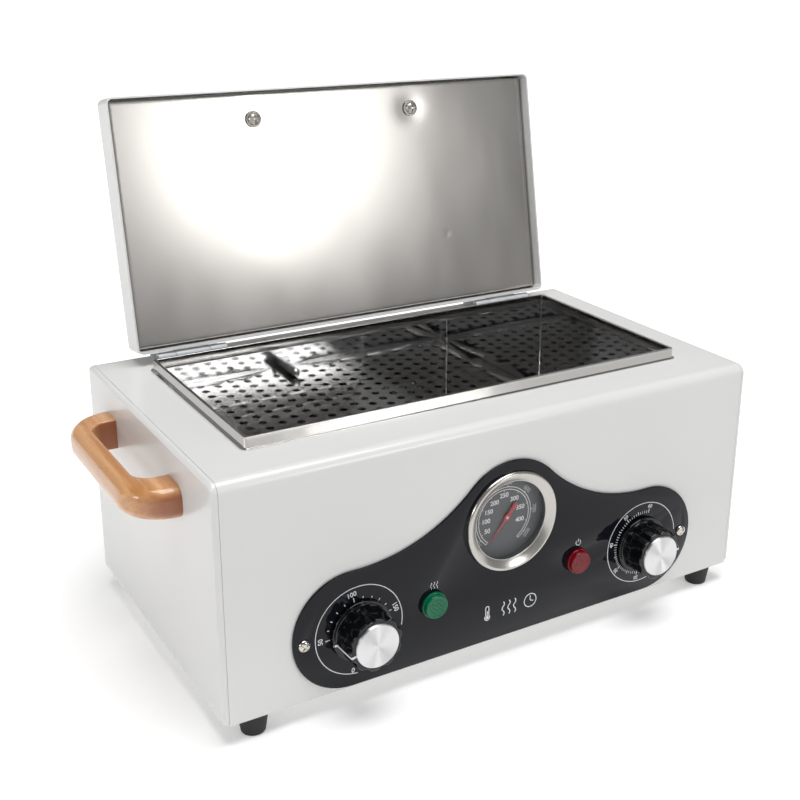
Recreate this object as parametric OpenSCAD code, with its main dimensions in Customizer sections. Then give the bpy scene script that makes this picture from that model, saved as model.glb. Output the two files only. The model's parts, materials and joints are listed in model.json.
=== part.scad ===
// Bench-top dry heat sterilizer with a hinged lid, drawn with the lid open.
// Millimetres. Origin on the bench at the centre of the four feet, +X right, +Y rear, +Z up.

/* [Casing] */
// Width of the casing, without the handles
body_w = 350; // [330:1:420]
// Depth of the casing
body_d = 200; // [192:1:250]
// Height of the casing, without the feet
body_h = 136; // [130:1:170]
// Thickness of the painted sheet
sheet_t = 1; // [0.8:0.1:1.5]
// Outer radius of the bend between front and top
bend_r = 6; // [4:0.5:9]
// Radius of the side panels' other corners
corner_r = 3; // [2.8:0.1:4]
// Width of the side panels' turned edge
border_w = 3; // [2.6:0.1:5]
// Rounding of that edge
border_r = 2.5; // [1.5:0.1:2.5]
// Gap at the seams between the panels
seam_gap = 0.2; // [0.1:0.05:0.4]
// Width of the strip tucked behind each seam
tuck_w = 8; // [5:0.5:12]
// Gap between a panel and what lies behind it
tuck_gap = 0.1; // [0.05:0.05:0.2]
// Height of the base plate's turned-up edges
base_edge = 10; // [6:0.5:14]
// Height of the lip that the top sheet turns down at the rear
lip_h = 12; // [8:0.5:16]

/* [Feet] */
// Height of the rubber feet
foot_h = 12.5; // [10:0.5:18]
// Radius of a foot at the casing
foot_top_r = 8.5; // [7:0.5:10]
// Radius of a foot on the bench
foot_low_r = 6.75; // [6:0.25:8]
// Rounding of a foot's lower edge
foot_round = 1.2; // [0.5:0.1:1.5]
// Distance of the feet from the sides
foot_inset_x = 19.3; // [17:0.1:26]
// Distance of the feet from front and rear
foot_inset_y = 8.5; // [8.5:0.1:20]
// Radius of the foot screws
foot_screw_r = 2; // [1.5:0.25:2.25]
// Radius of the foot screws' heads
foot_head_r = 3.4; // [3.2:0.1:3.6]
// Height of the foot screws' heads
foot_head_h = 2.4; // [1.5:0.1:3]
// Thickness of rubber above a foot screw's head
foot_seat = 6; // [4:0.5:7]
// Length of a foot screw above the base plate
foot_screw_up = 5; // [4.5:0.1:7]
// Height of the foot nuts
foot_nut_h = 3.2; // [2.5:0.1:4]
// Distance across the flats of the foot nuts
foot_nut_af = 7; // [6.5:0.5:8]

/* [Chamber] */
// Distance of the chamber's rim from the sides
rim_side = 31; // [30:0.5:50]
// Distance of the rim from the front
rim_front = 32.5; // [30:0.5:34]
// Distance of the rim from the rear
rim_rear = 28; // [27.5:0.5:40]
// Thickness of the folded rim
rim_t = 2; // [1.8:0.1:2.4]
// Height of the rim above the casing
rim_h = 6.7; // [5:0.1:9]
// Corner radius of the rim
rim_r = 2.2; // [2:0.1:2.4]
// Width of the rim's foot flange
rim_foot_w = 1.6; // [1:0.1:2.4]
// Thickness of the rim's foot flange
rim_foot_t = 0.6; // [0.4:0.1:0.8]
// Depth of the fold at the top of the rim
rim_fold = 1; // [0.6:0.1:1.6]
// Thickness of the stainless liner
liner_t = 0.8; // [0.6:0.1:1]
// Clearance between the liner and the rim's fold
fold_gap = 0.05; // [0.02:0.01:0.1]
// Clearance between the liner and the casing's opening
opening_gap = 0.3; // [0.1:0.05:0.5]
// Height of the perforated floor above the base of the casing
floor_up = 70.8; // [69.5:0.1:71.2]
// Height of the space under the perforated floor
under_floor = 14; // [13.5:0.1:15]
// Thickness of the perforated floor
floor_t = 0.8; // [0.6:0.1:1.2]
// Length of the perforated floor's corner legs along its edges
skirt_corner = 24; // [10:1:40]
// Gap round the perforated floor
floor_gap = 0.5; // [0.3:0.1:1]
// Radius of the floor's holes
floor_hole_r = 3; // [2:0.1:3.5]
// Pitch of the columns of holes, side to side
hole_pitch_x = 11.6; // [10:0.1:16]
// Pitch of the holes along a column, front to rear
hole_pitch_y = 11.45; // [10:0.05:16]
// Plain border of the floor outside the holes
hole_margin = 6; // [4.5:0.5:12]

/* [Heater] */
// Radius of the heating tube
heater_r = 3.25; // [2.5:0.25:3.5]
// Bend radius of the heating tube
heater_bend = 12; // [8:0.5:14]
// Distance of the heating coil from the liner's side walls
heater_side = 30.6; // [28:0.1:50]
// Shortening of the middle run on the right
heater_short = 62; // [40:1:80]
// Distance from the liner's front wall to the first run
heater_front = 22; // [20:1:24]
// Distance from the last run to the liner's rear wall
heater_rear = 34.7; // [30:0.1:40]
// Outer radius of the ceramic bushes
bush_r = 6; // [5:0.25:6.5]
// Radius of the bushes' collars
bush_collar_r = 8; // [7.5:0.25:8.5]
// Length of the bushes on each side of the liner's wall
bush_len = 5; // [4:0.5:6]
// Clearance round the tube and the bushes
bush_gap = 0.05; // [0.03:0.01:0.1]
// Length of the bare pins behind the bushes
heater_pin = 6; // [4:0.5:8]
// Width of a heater clip
clip_w = 8; // [6:0.5:12]
// Thickness of a heater clip
clip_t = 0.8; // [0.6:0.1:1]
// Gap between a clip and the tube
clip_gap = 0.2; // [0.1:0.05:0.3]
// Distance of the left heater clips from the heater's left bends
clip_left_in = 56; // [18:1:92]
// Distance of the right heater clips from the heater's short bend
clip_right_in = 20; // [18:1:40]

/* [Insulation] */
// Thickness of the blanket round the chamber
jacket_t = 9; // [6:0.5:9.5]
// Gap between the insulation and the liner
jacket_gap = 0.3; // [0.2:0.1:0.5]
// Distance of the blanket's top below the casing's top
jacket_drop = 5; // [3:0.5:10]
// Thickness of the pad under the chamber
pad_t = 9; // [6:0.5:9.5]
// Distance of the pad from the liner's front
pad_front = 20.3; // [18:0.1:60]

/* [Lid] */
// Angle by which the lid stands open
lid_open = 100.5; // [95:0.5:104]
// Height of the lid
lid_h = 20.5; // [18:0.5:26]
// Overhang of the lid past the rim at the sides
lid_over_x = 5.5; // [4.5:0.1:8]
// Overhang of the lid past the rim at the front
lid_over_front = 7.1; // [4.5:0.1:9]
// Overhang of the lid past the rim at the rear
lid_over_rear = 6; // [4.5:0.1:6.5]
// Gap between the closed lid and the casing
lid_gap = 0.6; // [0.4:0.1:1]
// Corner radius of the lid
lid_corner_r = 4; // [3.2:0.1:6]
// Rounding of the lid's upper edge
lid_edge_r = 3; // [1.5:0.1:3]
// Gap between the closed lid's pan and the rim
seat_gap = 0.5; // [0.3:0.1:1]
// Gap between the pan and the lid's skirt
pan_gap = 1.3; // [0.6:0.1:2]
// Thickness of the stainless pan
pan_t = 0.8; // [0.6:0.1:1]
// Rounding of the pan's edge
pan_edge_r = 2; // [1:0.1:2]
// Height of the pan's turned edge
pan_h = 8; // [5:0.5:9]
// Gap round the lid's insulation
wool_gap = 0.5; // [0.3:0.1:1]

/* [Hinges] */
// Distance of each hinge's middle from the lid's end
hinge_in = 34.5; // [30:0.5:90]
// Length of a hinge
hinge_len = 44; // [30:1:50]
// Length of the middle knuckle
knuckle_mid = 22; // [10:1:24]
// Gap between knuckles
knuckle_gap = 0.3; // [0.2:0.05:0.5]
// Radius of the knuckles
knuckle_r = 3; // [2.5:0.1:3.1]
// Radius of the hinge pins
hinge_pin_r = 1.5; // [1:0.1:1.7]
// Radial clearance of the hinge pins
pin_gap = 0.05; // [0.02:0.01:0.1]
// Distance from the lid's rear face to the knuckles
hinge_set = 0.85; // [0.7:0.05:1.5]
// Gap between the knuckles and the casing
hinge_lift = 0.2; // [0.1:0.05:0.4]
// Thickness of the leaves on the casing
leaf_t = 1.2; // [0.8:0.1:1.2]
// Thickness of the leaves on the lid
lid_leaf_t = 0.9; // [0.7:0.05:1]
// Reach of the leaves on the casing from the pin
leaf_reach = 15.5; // [12:0.5:16]
// Height of the leaves on the lid above the pin
lid_leaf_h = 14.5; // [10:0.5:15]
// Radius of the rivet heads
rivet_r = 2.2; // [1.5:0.1:2.5]
// Height of the rivet heads
rivet_h = 0.9; // [0.5:0.1:1]
// Radius of the rivets' shanks
rivet_shank_r = 1.5; // [1:0.1:1.5]

/* [Handles] */
// Length of a side handle
handle_len = 128; // [90:1:150]
// Length of the lid handle
lid_handle_len = 134; // [90:1:150]
// Reach of a handle
handle_reach = 27; // [24:0.5:36]
// Height of a handle's section
handle_h = 18.2; // [16:0.2:22]
// Width of a handle's legs
handle_leg = 21; // [16:0.5:24]
// Width of a handle's bar
handle_bar = 13; // [13:0.5:16]
// Outer corner radius of a handle
handle_out_r = 25.5; // [18:0.5:26]
// Inner corner radius of a handle
handle_in_r = 10.5; // [6:0.5:11]
// Rounding of a handle's edges
handle_edge_r = 6.4; // [3:0.1:6.4]
// Distance of the side handles' middle below the casing's top
handle_drop = 27; // [20:0.5:60]
// Distance of the side handles' middle from the front
handle_y = 106; // [90:1:110]
// Radius of the handle screws
handle_screw_r = 2.5; // [2:0.1:3]
// Clearance round the handle screws
handle_screw_gap = 0.1; // [0.05:0.05:0.3]
// Length of a handle screw in the wood
handle_screw_in = 14; // [10:0.5:15]
// Radius of the handle screws' heads
handle_head_r = 4.5; // [4:0.1:5]
// Height of the handle screws' heads
handle_head_h = 3; // [2:0.1:3.2]
// Distance of the lid handle from the lid's front
lid_handle_y = 18; // [16:0.5:30]
// Radius of the lid screws' heads
lid_head_r = 4; // [3.5:0.1:5]
// Height of the lid screws' heads
lid_head_h = 3; // [2:0.1:3.2]
// Radius of the washers on the pan
washer_r = 5.1; // [4.6:0.1:7]
// Thickness of the washers on the pan
washer_t = 1; // [0.8:0.1:1.2]

/* [Fascia] */
// Thickness of the fascia plate
fascia_t = 1.5; // [1:0.1:2]
// Distance of the end lobes from the middle
lobe_x = 101.5; // [95:0.5:110]
// Radius of the end lobes
lobe_r = 34.5; // [32:0.5:35]
// Height of the plate's lower edge above the base of the casing
fascia_low = 1.5; // [0.5:0.5:6]
// Radius of the hump round the dial
hump_r = 36.8; // [34:0.1:38]
// Radius of the hollow curves beside the hump
valley_r = 100; // [80:1:130]
// Distance of the fascia screws from the middle
fascia_screw_x = 129.5; // [126:0.5:131]
// Clearance of the holes in the front
hole_gap = 0.3; // [0.1:0.05:0.4]
// Radius of the fascia screws' heads
fascia_head_r = 3.5; // [3:0.1:4]
// Height of the fascia screws' heads
fascia_head_h = 1.9; // [1.2:0.1:2.4]
// Radius of the fascia screws
fascia_screw_r = 1.5; // [1:0.1:1.75]
// Length of the fascia screws
fascia_screw_len = 8; // [5:0.5:10]

/* [Dial thermometer] */
// Height of the dial's middle above the base of the casing
gauge_z = 74.4; // [72:0.1:76]
// Outer radius of the bezel
bezel_r = 30.2; // [28.5:0.1:31]
// Radius of the bezel's opening
bezel_open_r = 23.7; // [22:0.1:24]
// Height of the bezel above the casing's front
bezel_out = 4; // [3.5:0.1:5]
// Rounding of the bezel's outer edge
bezel_round = 1.6; // [0.8:0.1:1.8]
// Outer radius of the dial's case
case_r = 27; // [26.5:0.1:27.4]
// Wall of the dial's case
case_t = 1.8; // [1.5:0.1:2]
// Depth of the case behind the casing's front
case_depth = 10; // [9:0.5:14]
// Depth of the dial face behind the casing's front
dial_depth = 4.5; // [3.6:0.1:5.5]
// Thickness of the dial
dial_t = 0.6; // [0.4:0.1:1]
// Thickness of the glass
glass_t = 1.5; // [1:0.1:1.6]
// Depth at which the case starts behind the fascia's face
case_set = 2.6; // [2.2:0.1:2.8]
// Thickness of the bezel's lip in front of the glass
lip_t = 0.7; // [0.4:0.1:1]
// Gap between the glass and the bezel's lip
glass_gap = 0.1; // [0.05:0.05:0.2]
// Depth of the needle behind the casing's front
needle_depth = 3; // [1:0.1:3.2]
// Thickness of the needle
needle_t = 0.6; // [0.4:0.1:0.8]
// Length of the needle from its spindle to its tip
needle_len = 18.5; // [12:0.5:20]
// Length of the needle's tail
needle_tail = 10.2; // [5:0.1:11]
// Width of the needle's tail
needle_w = 2.8; // [1.5:0.1:3]
// Angle of the resting needle, from straight down towards the left
needle_rest = 40; // [30:1:50]
// Radius of the needle's hub
hub_r = 1.9; // [1.1:0.1:2.4]
// Height of the needle's hub over its front and back
hub_over = 0.3; // [0.1:0.05:0.4]
// Radius of the needle's spindle
spindle_r = 0.8; // [0.6:0.05:1]
// Radial clearance of the spindle
spindle_gap = 0.05; // [0.02:0.01:0.1]
// Length of the spindle behind the dial
spindle_len = 18; // [10:1:40]
// Radius of the thermometer's stem
stem_r = 3; // [2.5:0.1:3.3]
// Wall of the stem
stem_t = 0.8; // [0.5:0.1:1]
// Length of the stem inside the chamber
stem_in = 29; // [15:1:60]
// Distance across the flats of the stem's nut
stem_nut_af = 11; // [9:0.5:13]
// Height of the stem's nut
stem_nut_h = 4; // [3:0.5:6]

/* [Lamps] */
// Distance of the lamps from the point midway between them
lamp_x = 49.7; // [46:0.1:55]
// Place of that point, to the left of the casing's middle
lamp_left = 1.1; // [0:0.1:2]
// Height of the lamps above the base of the casing
lamp_z = 36; // [30:0.1:38]
// Radius of the lens flange
lens_flange_r = 7.7; // [7:0.1:8.5]
// Thickness of the lens flange
lens_flange_t = 1.4; // [1:0.1:2]
// Radius of the lens
lens_r = 6.7; // [6:0.1:6.9]
// Height of the lens above the fascia
lens_h = 4; // [3:0.1:6]
// Wall of the lens
lens_t = 1.2; // [0.8:0.1:1.5]
// Radius of the lamp body
lamp_r = 5.5; // [4.5:0.1:5.8]
// Length of the lamp body behind the fascia
lamp_len = 24; // [16:1:26]
// Distance across the flats of the lamp nuts
lamp_nut_af = 14; // [13:0.5:16]
// Height of the lamp nuts
lamp_nut_h = 3; // [2:0.5:5]
// Width of the lamps' blade terminals
lamp_blade_w = 2.8; // [2:0.1:4]
// Radius of the glow tube in the lens
glow_r = 2; // [1.5:0.1:3]

/* [Controls] */
// Distance of the knobs from the middle
knob_x = 96.5; // [90:0.5:100]
// Height of the knobs above the base of the casing
knob_z = 34.8; // [32:0.1:38]
// Gap between the knobs and the fascia
knob_gap = 1; // [0.6:0.1:1.5]
// Radius of the knobs' skirts
skirt_r = 17.8; // [17.5:0.1:19]
// Thickness of the skirts
skirt_t = 1.8; // [1.3:0.1:2.2]
// Height of the straight edge of the skirts
skirt_edge = 1.2; // [1:0.1:1.2]
// Radius of the knobs' grips at the front
grip_r = 15.4; // [14.8:0.1:15.8]
// Radius of the grips at the skirt
grip_base_r = 15.9; // [15.5:0.1:16.2]
// Front of the grips, measured from the casing's front
grip_out = 20; // [18:0.1:24]
// Chamfer at the front edge of the grips
grip_chamfer = 0.6; // [0.3:0.1:0.8]
// Number of flutes in a grip
flutes = 10; // [6:1:16]
// Radius of a flute
flute_r = 5; // [4:0.1:6]
// Depth of a flute at the front of the grip
flute_depth = 1.2; // [0.5:0.1:1.6]
// Radius of the metal cap
cap_r = 12.5; // [10:0.1:12.6]
// Depth to which the cap is let in
cap_sink = 1; // [0.5:0.1:1.5]
// Height of the cap above the grip
cap_out = 1.4; // [0.4:0.1:1.5]
// Clearance round the cap
cap_gap = 0.05; // [0.02:0.01:0.1]
// Radius of the hollow under the knob
hollow_r = 10; // [9.5:0.1:11]
// Depth of the hollow under the knob
hollow_h = 3.5; // [3.2:0.1:5]
// Width of the pointer line
pointer_w = 1.2; // [0.8:0.1:2]
// Height of the pointer line
pointer_h = 0.3; // [0.2:0.1:0.5]
// Clockwise angle of the thermostat's pointer at rest, from straight up
thermostat_rest = -103; // [-170:1:100]
// Clockwise angle of the timer's pointer at rest, from straight up
timer_rest = 88; // [80:1:100]
// Radius of the control shafts
shaft_r = 3; // [2.5:0.1:3.2]
// Radial clearance of the shafts
shaft_gap = 0.05; // [0.02:0.01:0.1]
// Length of a shaft inside its control
shaft_in = 12; // [6:1:16]
// Length of a shaft inside its knob
shaft_knob = 12; // [8:0.5:12.5]
// Radius of the threaded necks
neck_r = 4.8; // [4.4:0.1:5]
// Length of the threaded necks in front of the fascia
neck_out = 3.2; // [3:0.1:3.8]
// Distance across the flats of the neck nuts
neck_nut_af = 14; // [12:0.5:15]
// Height of the neck nuts
neck_nut_h = 2.4; // [1.5:0.1:2.8]
// Radius of the thermostat's body
thermostat_r = 19; // [14:0.5:19.5]
// Depth of the thermostat's body
thermostat_d = 26; // [20:1:28]
// Side of the timer's body
timer_s = 38; // [30:1:39]
// Depth of the timer's body
timer_d = 28; // [22:1:29]
// Radius of the thermostat's capillary tube
capillary_r = 1; // [0.8:0.1:1.2]
// Radius of the thermostat's bulb
bulb_r = 2.5; // [2:0.1:3]
// Length of the thermostat's bulb
bulb_len = 70; // [40:1:80]
// Distance of the bulb from the liner's side wall
bulb_in = 8; // [6:1:14]
// Distance of the bulb from the liner's front wall
bulb_front = 10; // [7:1:12]
// Distance of the capillary tube outside the blanket
capillary_out = 5; // [4:0.5:8]
// Bend radius of the capillary tube
capillary_bend = 4; // [3:0.5:6]
// Width of the flat blade terminals
blade_w = 6.3; // [4.8:0.1:6.3]
// Thickness of the blade terminals
blade_t = 0.8; // [0.5:0.1:1]
// Length of the blade terminals
blade_len = 8; // [6:0.5:9]
// Distance between the two blade terminals of a control
blade_pitch = 19; // [15:0.5:22]
// Clearance of the capillary tube in the liner, the floor and the insulation
capillary_gap = 0.3; // [0.2:0.1:0.5]

/* [Rear] */
// Distance of the cord gland from the casing's side
gland_side = 55; // [30:1:85]
// Height of the cord gland above the base of the casing
gland_z = 24; // [18:1:34]
// Radius of the gland's bore
gland_bore_r = 3.7; // [3:0.1:4.2]
// Radius of the gland's body
gland_r = 6; // [5.5:0.1:7]
// Radius of the gland's collar
gland_collar_r = 9; // [8:0.1:10]
// Thickness of the gland's collar
gland_collar_t = 2.5; // [2:0.1:3.5]
// Height of the gland outside
gland_out = 10; // [6:0.5:14]
// Taper of the gland outside
gland_taper = 1; // [0.5:0.1:1.4]
// Length of the gland inside
gland_in = 9; // [7:0.5:12]
// Distance across the flats of the gland nut
gland_nut_af = 16; // [15:0.5:18]
// Height of the gland nut
gland_nut_h = 4; // [3:0.5:5]
// Radius of the rear panel's screw heads
rear_head_r = 2.9; // [2.5:0.1:3.2]
// Height of the rear panel's screw heads
rear_head_h = 1.8; // [1.2:0.1:2.2]
// Radius of the rear panel's screws
rear_screw_r = 1.5; // [1.2:0.1:1.6]
// Length of the rear panel's screws behind the panel
rear_screw_len = 7; // [4:0.5:10]
// Distance of the rear panel's screws from its edges
rear_screw_in = 7; // [5.5:0.5:8]
// Width of the tabs that hold the rear panel
tab_w = 14; // [12:1:18]
// Width of the terminal block
terminal_w = 34; // [24:1:40]
// Depth of the terminal block
terminal_d = 18; // [14:1:22]
// Height of the terminal block
terminal_h = 14; // [10:1:18]
// Distance of the terminal block's middle from the casing's side
terminal_side = 109; // [95:1:125]
// Distance of the terminal block from the rear
terminal_in = 14; // [12:0.5:20]
// Radius of the terminals' wire holes
terminal_bore_r = 1.6; // [1.2:0.1:1.8]
// Radius of the earth stud
earth_r = 2; // [1.5:0.25:2.5]
// Height of the earth stud
earth_h = 14; // [10:1:18]
// Height of the earth stud's nut
earth_nut_h = 4; // [3:0.5:5]
// Distance across the flats of the earth stud's nut
earth_nut_af = 7.3; // [6:0.1:9]
// Distance of the earth stud from the casing's side
earth_side = 79; // [65:1:83]
// Radius of the wires
wire_r = 1.1; // [0.8:0.1:1.2]
// Bend radius of the wires
wire_bend = 5; // [3:0.5:6]
// Distance from the terminal block to the turn of the controls' wires
wire_turn = 12; // [11:0.5:14]
// Distance from the terminal block to the turn of the lamp's wire
lamp_wire_turn = 48; // [40:1:60]
// Length of a wire's end inside its terminal
wire_in = 4; // [2:0.5:6]

/* [Hidden] */
$fn = 64;

white = "#eceded";
steel = "#b9bbbd";
wood = "#c9853f";
black = "#232427";
wool = "#d8cfa4";

// Overshoot of a cutting shape past the face that it cuts
cut = 1;
// Thickness of the slices that a rounded form is wrapped round
skin = 0.02;
// Segments of a rounded corner inside a wrapped form
wrap_fn = 32;
// Span of a cross recess and width of its slots, as shares of the head's radius
cross_span = 1.5;
cross_slot = 0.28;

z_low = foot_h;
z_top = foot_h + body_h;
y_front = -body_d / 2;
y_rear = body_d / 2;
x_out = body_w / 2;
panel_x = x_out - border_w - seam_gap;
foot_x = x_out - foot_inset_x;
gland_x = x_out - gland_side;
terminal_x = x_out - terminal_side;
earth_x = x_out - earth_side;
foot_y = y_rear - foot_inset_y;

rim_w = body_w - 2 * rim_side;
rim_d = body_d - rim_front - rim_rear;
rim_y = y_front + rim_front + rim_d / 2;
rim_top = z_top + rim_h;
fold_leg = (rim_t - liner_t) / 2 - fold_gap;
liner_w = rim_w - 2 * (fold_leg + fold_gap);
liner_d = rim_d - 2 * (fold_leg + fold_gap);
liner_r = rim_r - fold_leg - fold_gap;
liner_front = rim_y - liner_d / 2;
liner_rear = rim_y + liner_d / 2;
floor_z = z_low + floor_up;
liner_in_z = floor_z - under_floor;
liner_z = liner_in_z - liner_t;
floor_w = liner_w - 2 * (liner_t + floor_gap);
floor_d = liner_d - 2 * (liner_t + floor_gap);
skirt_down = floor_z - floor_t - liner_in_z;
hole_cols = floor((floor_w / 2 - hole_margin - floor_hole_r) / hole_pitch_x);
hole_rows = floor((floor_d / 2 - hole_margin - floor_hole_r) / hole_pitch_y);
notch_w = 2 * (stem_nut_af / sqrt(3) + floor_gap);
notch_d = stem_nut_h + floor_gap;
opening_w = liner_w + 2 * opening_gap;
opening_d = liner_d + 2 * opening_gap;

heater_z = liner_in_z + (under_floor - floor_t) / 2;
heater_y = liner_front + liner_t + heater_front;
heater_half_w = liner_w / 2 - liner_t - heater_side;
heater_short_x = heater_half_w - heater_short;
heater_step = (liner_d - 2 * liner_t - heater_front - heater_rear) / 2;
heater_ys = [for (k = [0 : 2]) heater_y + k * heater_step];
heater_end = liner_rear + bush_len + heater_pin;
bulb_y = liner_front + liner_t + bulb_front;
bush_hole_r = bush_r + bush_gap;
jacket_hole_r = bush_collar_r + jacket_gap;

lid_w = rim_w + 2 * lid_over_x;
lid_d = rim_d + lid_over_front + lid_over_rear;
lid_front = y_front + rim_front - lid_over_front;
lid_rear = lid_front + lid_d;
lid_y = (lid_front + lid_rear) / 2;
lid_z = z_top + lid_gap;
lid_top = lid_z + lid_h;
pan_z = rim_top + seat_gap;
pan_w = lid_w - 2 * (sheet_t + pan_gap);
pan_d = lid_d - 2 * (sheet_t + pan_gap);
wool_top = lid_top - sheet_t - tuck_gap;
hinge_x = lid_w / 2 - hinge_in;
hinge_y = lid_rear + hinge_set + knuckle_r;
hinge_z = z_top + hinge_lift + knuckle_r;
pin_bore_r = hinge_pin_r + pin_gap;
rivet_x = hinge_len / 4 + knuckle_mid / 4;
rivet_reach = (leaf_reach + knuckle_r) / 2;
lid_screw_y = lid_front + lid_handle_y;
lid_screw_x = (lid_handle_len - handle_leg) / 2;

handle_mid_z = z_top - handle_drop;
handle_mid_y = y_front + handle_y;
handle_pitch = handle_len - handle_leg;
screw_hole_r = handle_screw_r + handle_screw_gap;

lobe_z = z_low + fascia_low + lobe_r;
control_z = z_low + knob_z;
dial_z = z_low + gauge_z;
glow_z = z_low + lamp_z;
fascia_y = y_front - fascia_t;
case_y = fascia_y + case_set;
knob_y = fascia_y - knob_gap;
grip_y = y_front - grip_out;
cap_y = grip_y + cap_sink;
shaft_end = knob_y - shaft_knob - hollow_h;
gland_height = z_low + gland_z;
terminal_y = y_rear - terminal_in - terminal_d / 2;
tab_x = x_out - border_w - rear_screw_in;
terminal_pitch = terminal_w / 3;
rear_screw_zs = [z_low + base_edge + rear_screw_in, z_low + body_h / 2, z_top - lip_h - rear_screw_in];

function unit(v) = v / norm(v);

// Points along an arc round (x, z), from angle a to angle b
function arc(x, z, r, a, b, n = 24) =
    [for (i = [0 : n]) [x + r * cos(a + (b - a) * i / n), z + r * sin(a + (b - a) * i / n)]];

// A rectangle with round corners, in exact arcs
module pad(w, d, r) {
    square([w - 2 * r, d], center = true);
    square([w, d - 2 * r], center = true);
    for (x = [-1, 1], y = [-1, 1])
        translate([x * (w / 2 - r), y * (d / 2 - r)]) circle(r);
}

// The four corner discs of such a rectangle, for a wrapped form
module corners(w, d, r) {
    for (x = [-1, 1], y = [-1, 1])
        translate([x * (w / 2 - r), y * (d / 2 - r)]) circle(r, $fn = wrap_fn);
}

// A rod from front to rear
module rod_y(x, z, y0, y1, r) {
    translate([x, y0, z]) rotate([-90, 0, 0]) cylinder(h = y1 - y0, r = r);
}

// A rod from left to right
module rod_x(y, z, x0, x1, r) {
    translate([x0, y, z]) rotate([0, 90, 0]) cylinder(h = x1 - x0, r = r);
}

// A hexagon nut from front to rear, with a bore
module nut_y(x, z, y0, y1, af, bore_r) {
    translate([x, y0, z]) rotate([-90, 0, 0]) difference() {
        cylinder(h = y1 - y0, r = af / sqrt(3), $fn = 6);
        translate([0, 0, -cut]) cylinder(h = y1 - y0 + 2 * cut, r = bore_r);
    }
}

// A turned form round a front-to-rear line: points are (radius, depth)
module turned_y(x, z, points) {
    translate([x, 0, z]) rotate([-90, 0, 0]) rotate_extrude() polygon(points);
}

// A domed screw head that faces the front, from its seat at y
module dome_front(x, z, y, r, h) {
    turned_y(x, z, concat([[0, y]], [for (a = [0 : 15 : 90]) [r * cos(a), y - h * sin(a)]]));
}

// A cross recess in a head that faces the front
module cross_front(x, z, y, r, depth) {
    translate([x, y, z]) for (a = [45, 135])
        rotate([0, a, 0]) cube([cross_span * r, 2 * depth, cross_slot * r], center = true);
}

// A straight rod between two points
module rod(a, b, r) {
    d = unit(b - a);
    translate(a) rotate([0, acos(d.z), atan2(d.y, d.x)]) cylinder(h = norm(b - a), r = r);
}

// The quarter bend at corner p between two runs
module elbow(p, d1, d2, r, bend) {
    c = p - bend * d1 + bend * d2;
    z = cross(-d2, d1);
    multmatrix([[-d2.x, d1.x, z.x, c.x], [-d2.y, d1.y, z.y, c.y], [-d2.z, d1.z, z.z, c.z]])
        rotate_extrude(angle = 90) translate([bend, 0]) circle(r);
}

// A tube along straight runs that meet at right angles
module bent_tube(path, r, bend) {
    last = len(path) - 1;
    for (i = [0 : last - 1]) {
        d = unit(path[i + 1] - path[i]);
        rod(path[i] + (i == 0 ? 0 : bend) * d, path[i + 1] - (i == last - 1 ? 0 : bend) * d, r);
    }
    for (i = [1 : last - 1])
        elbow(path[i], unit(path[i] - path[i - 1]), unit(path[i + 1] - path[i]), r, bend);
}

// Turns the closed lid open round its hinge
module opened() {
    translate([0, hinge_y, hinge_z]) rotate([-lid_open, 0, 0]) translate([0, -hinge_y, -hinge_z]) children();
}

// A quarter of a bent sheet round (y, z), with its outer radius r, on the side s
module quarter_bend(y, z, r, s) {
    translate([y, z]) intersection() {
        difference() {
            circle(r);
            circle(r - sheet_t);
        }
        translate([s < 0 ? -r : 0, 0]) square(r);
    }
}

// Section of the wrapped sheet in (y, z): front, bend, top, bend and rear lip, drawn in by an inset
module wrap_section(inset, low) {
    translate([y_front + inset, low]) square([sheet_t, z_top - bend_r - low]);
    translate([y_front + bend_r, z_top - inset - sheet_t]) square([body_d - bend_r - corner_r, sheet_t]);
    translate([y_rear - inset - sheet_t, z_top - lip_h]) square([sheet_t, lip_h - corner_r]);
    quarter_bend(y_front + bend_r, z_top - bend_r, bend_r - inset, -1);
    quarter_bend(y_rear - corner_r, z_top - corner_r, corner_r - inset, 1);
}

// Extrudes a (y, z) section from x0 to x1
module along_x(x0, x1) {
    translate([x0, 0, 0]) rotate([90, 0, 90]) linear_extrude(x1 - x0) children();
}

// The holes of the front, from depth y0 to y1
module front_holes(y0, y1) {
    rod_y(0, dial_z, y0, y1, case_r + hole_gap);
    for (s = [-1, 1]) {
        rod_y(s * lamp_x - lamp_left, glow_z, y0, y1, lamp_r + hole_gap);
        rod_y(s * knob_x, control_z, y0, y1, neck_r + hole_gap);
        rod_y(s * fascia_screw_x, control_z, y0, y1, fascia_screw_r + tuck_gap);
    }
}

module wrap_shell() {
    strip_x = x_out - sheet_t - tuck_gap;
    color(white) difference() {
        union() {
            along_x(-panel_x, panel_x) wrap_section(0, z_low);
            for (x = [-strip_x, panel_x - tuck_w])
                along_x(x, x + strip_x - panel_x + tuck_w) wrap_section(sheet_t, z_low + corner_r + tuck_gap);
        }
        translate([0, rim_y, z_top - sheet_t - cut])
            linear_extrude(sheet_t + 2 * cut) pad(opening_w, opening_d, liner_r + opening_gap);
        front_holes(y_front - cut, y_front + sheet_t + cut);
    }
}

// Outline of a side panel in (y, z), drawn in by an inset
module side_outline(inset) {
    hull() {
        translate([y_front + bend_r, z_top - bend_r]) circle(bend_r - inset, $fn = wrap_fn);
        for (p = [[y_rear - corner_r, z_top - corner_r], [y_rear - corner_r, z_low + corner_r],
            [y_front + corner_r, z_low + corner_r]])
            translate(p) circle(corner_r - inset, $fn = wrap_fn);
    }
}

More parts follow.
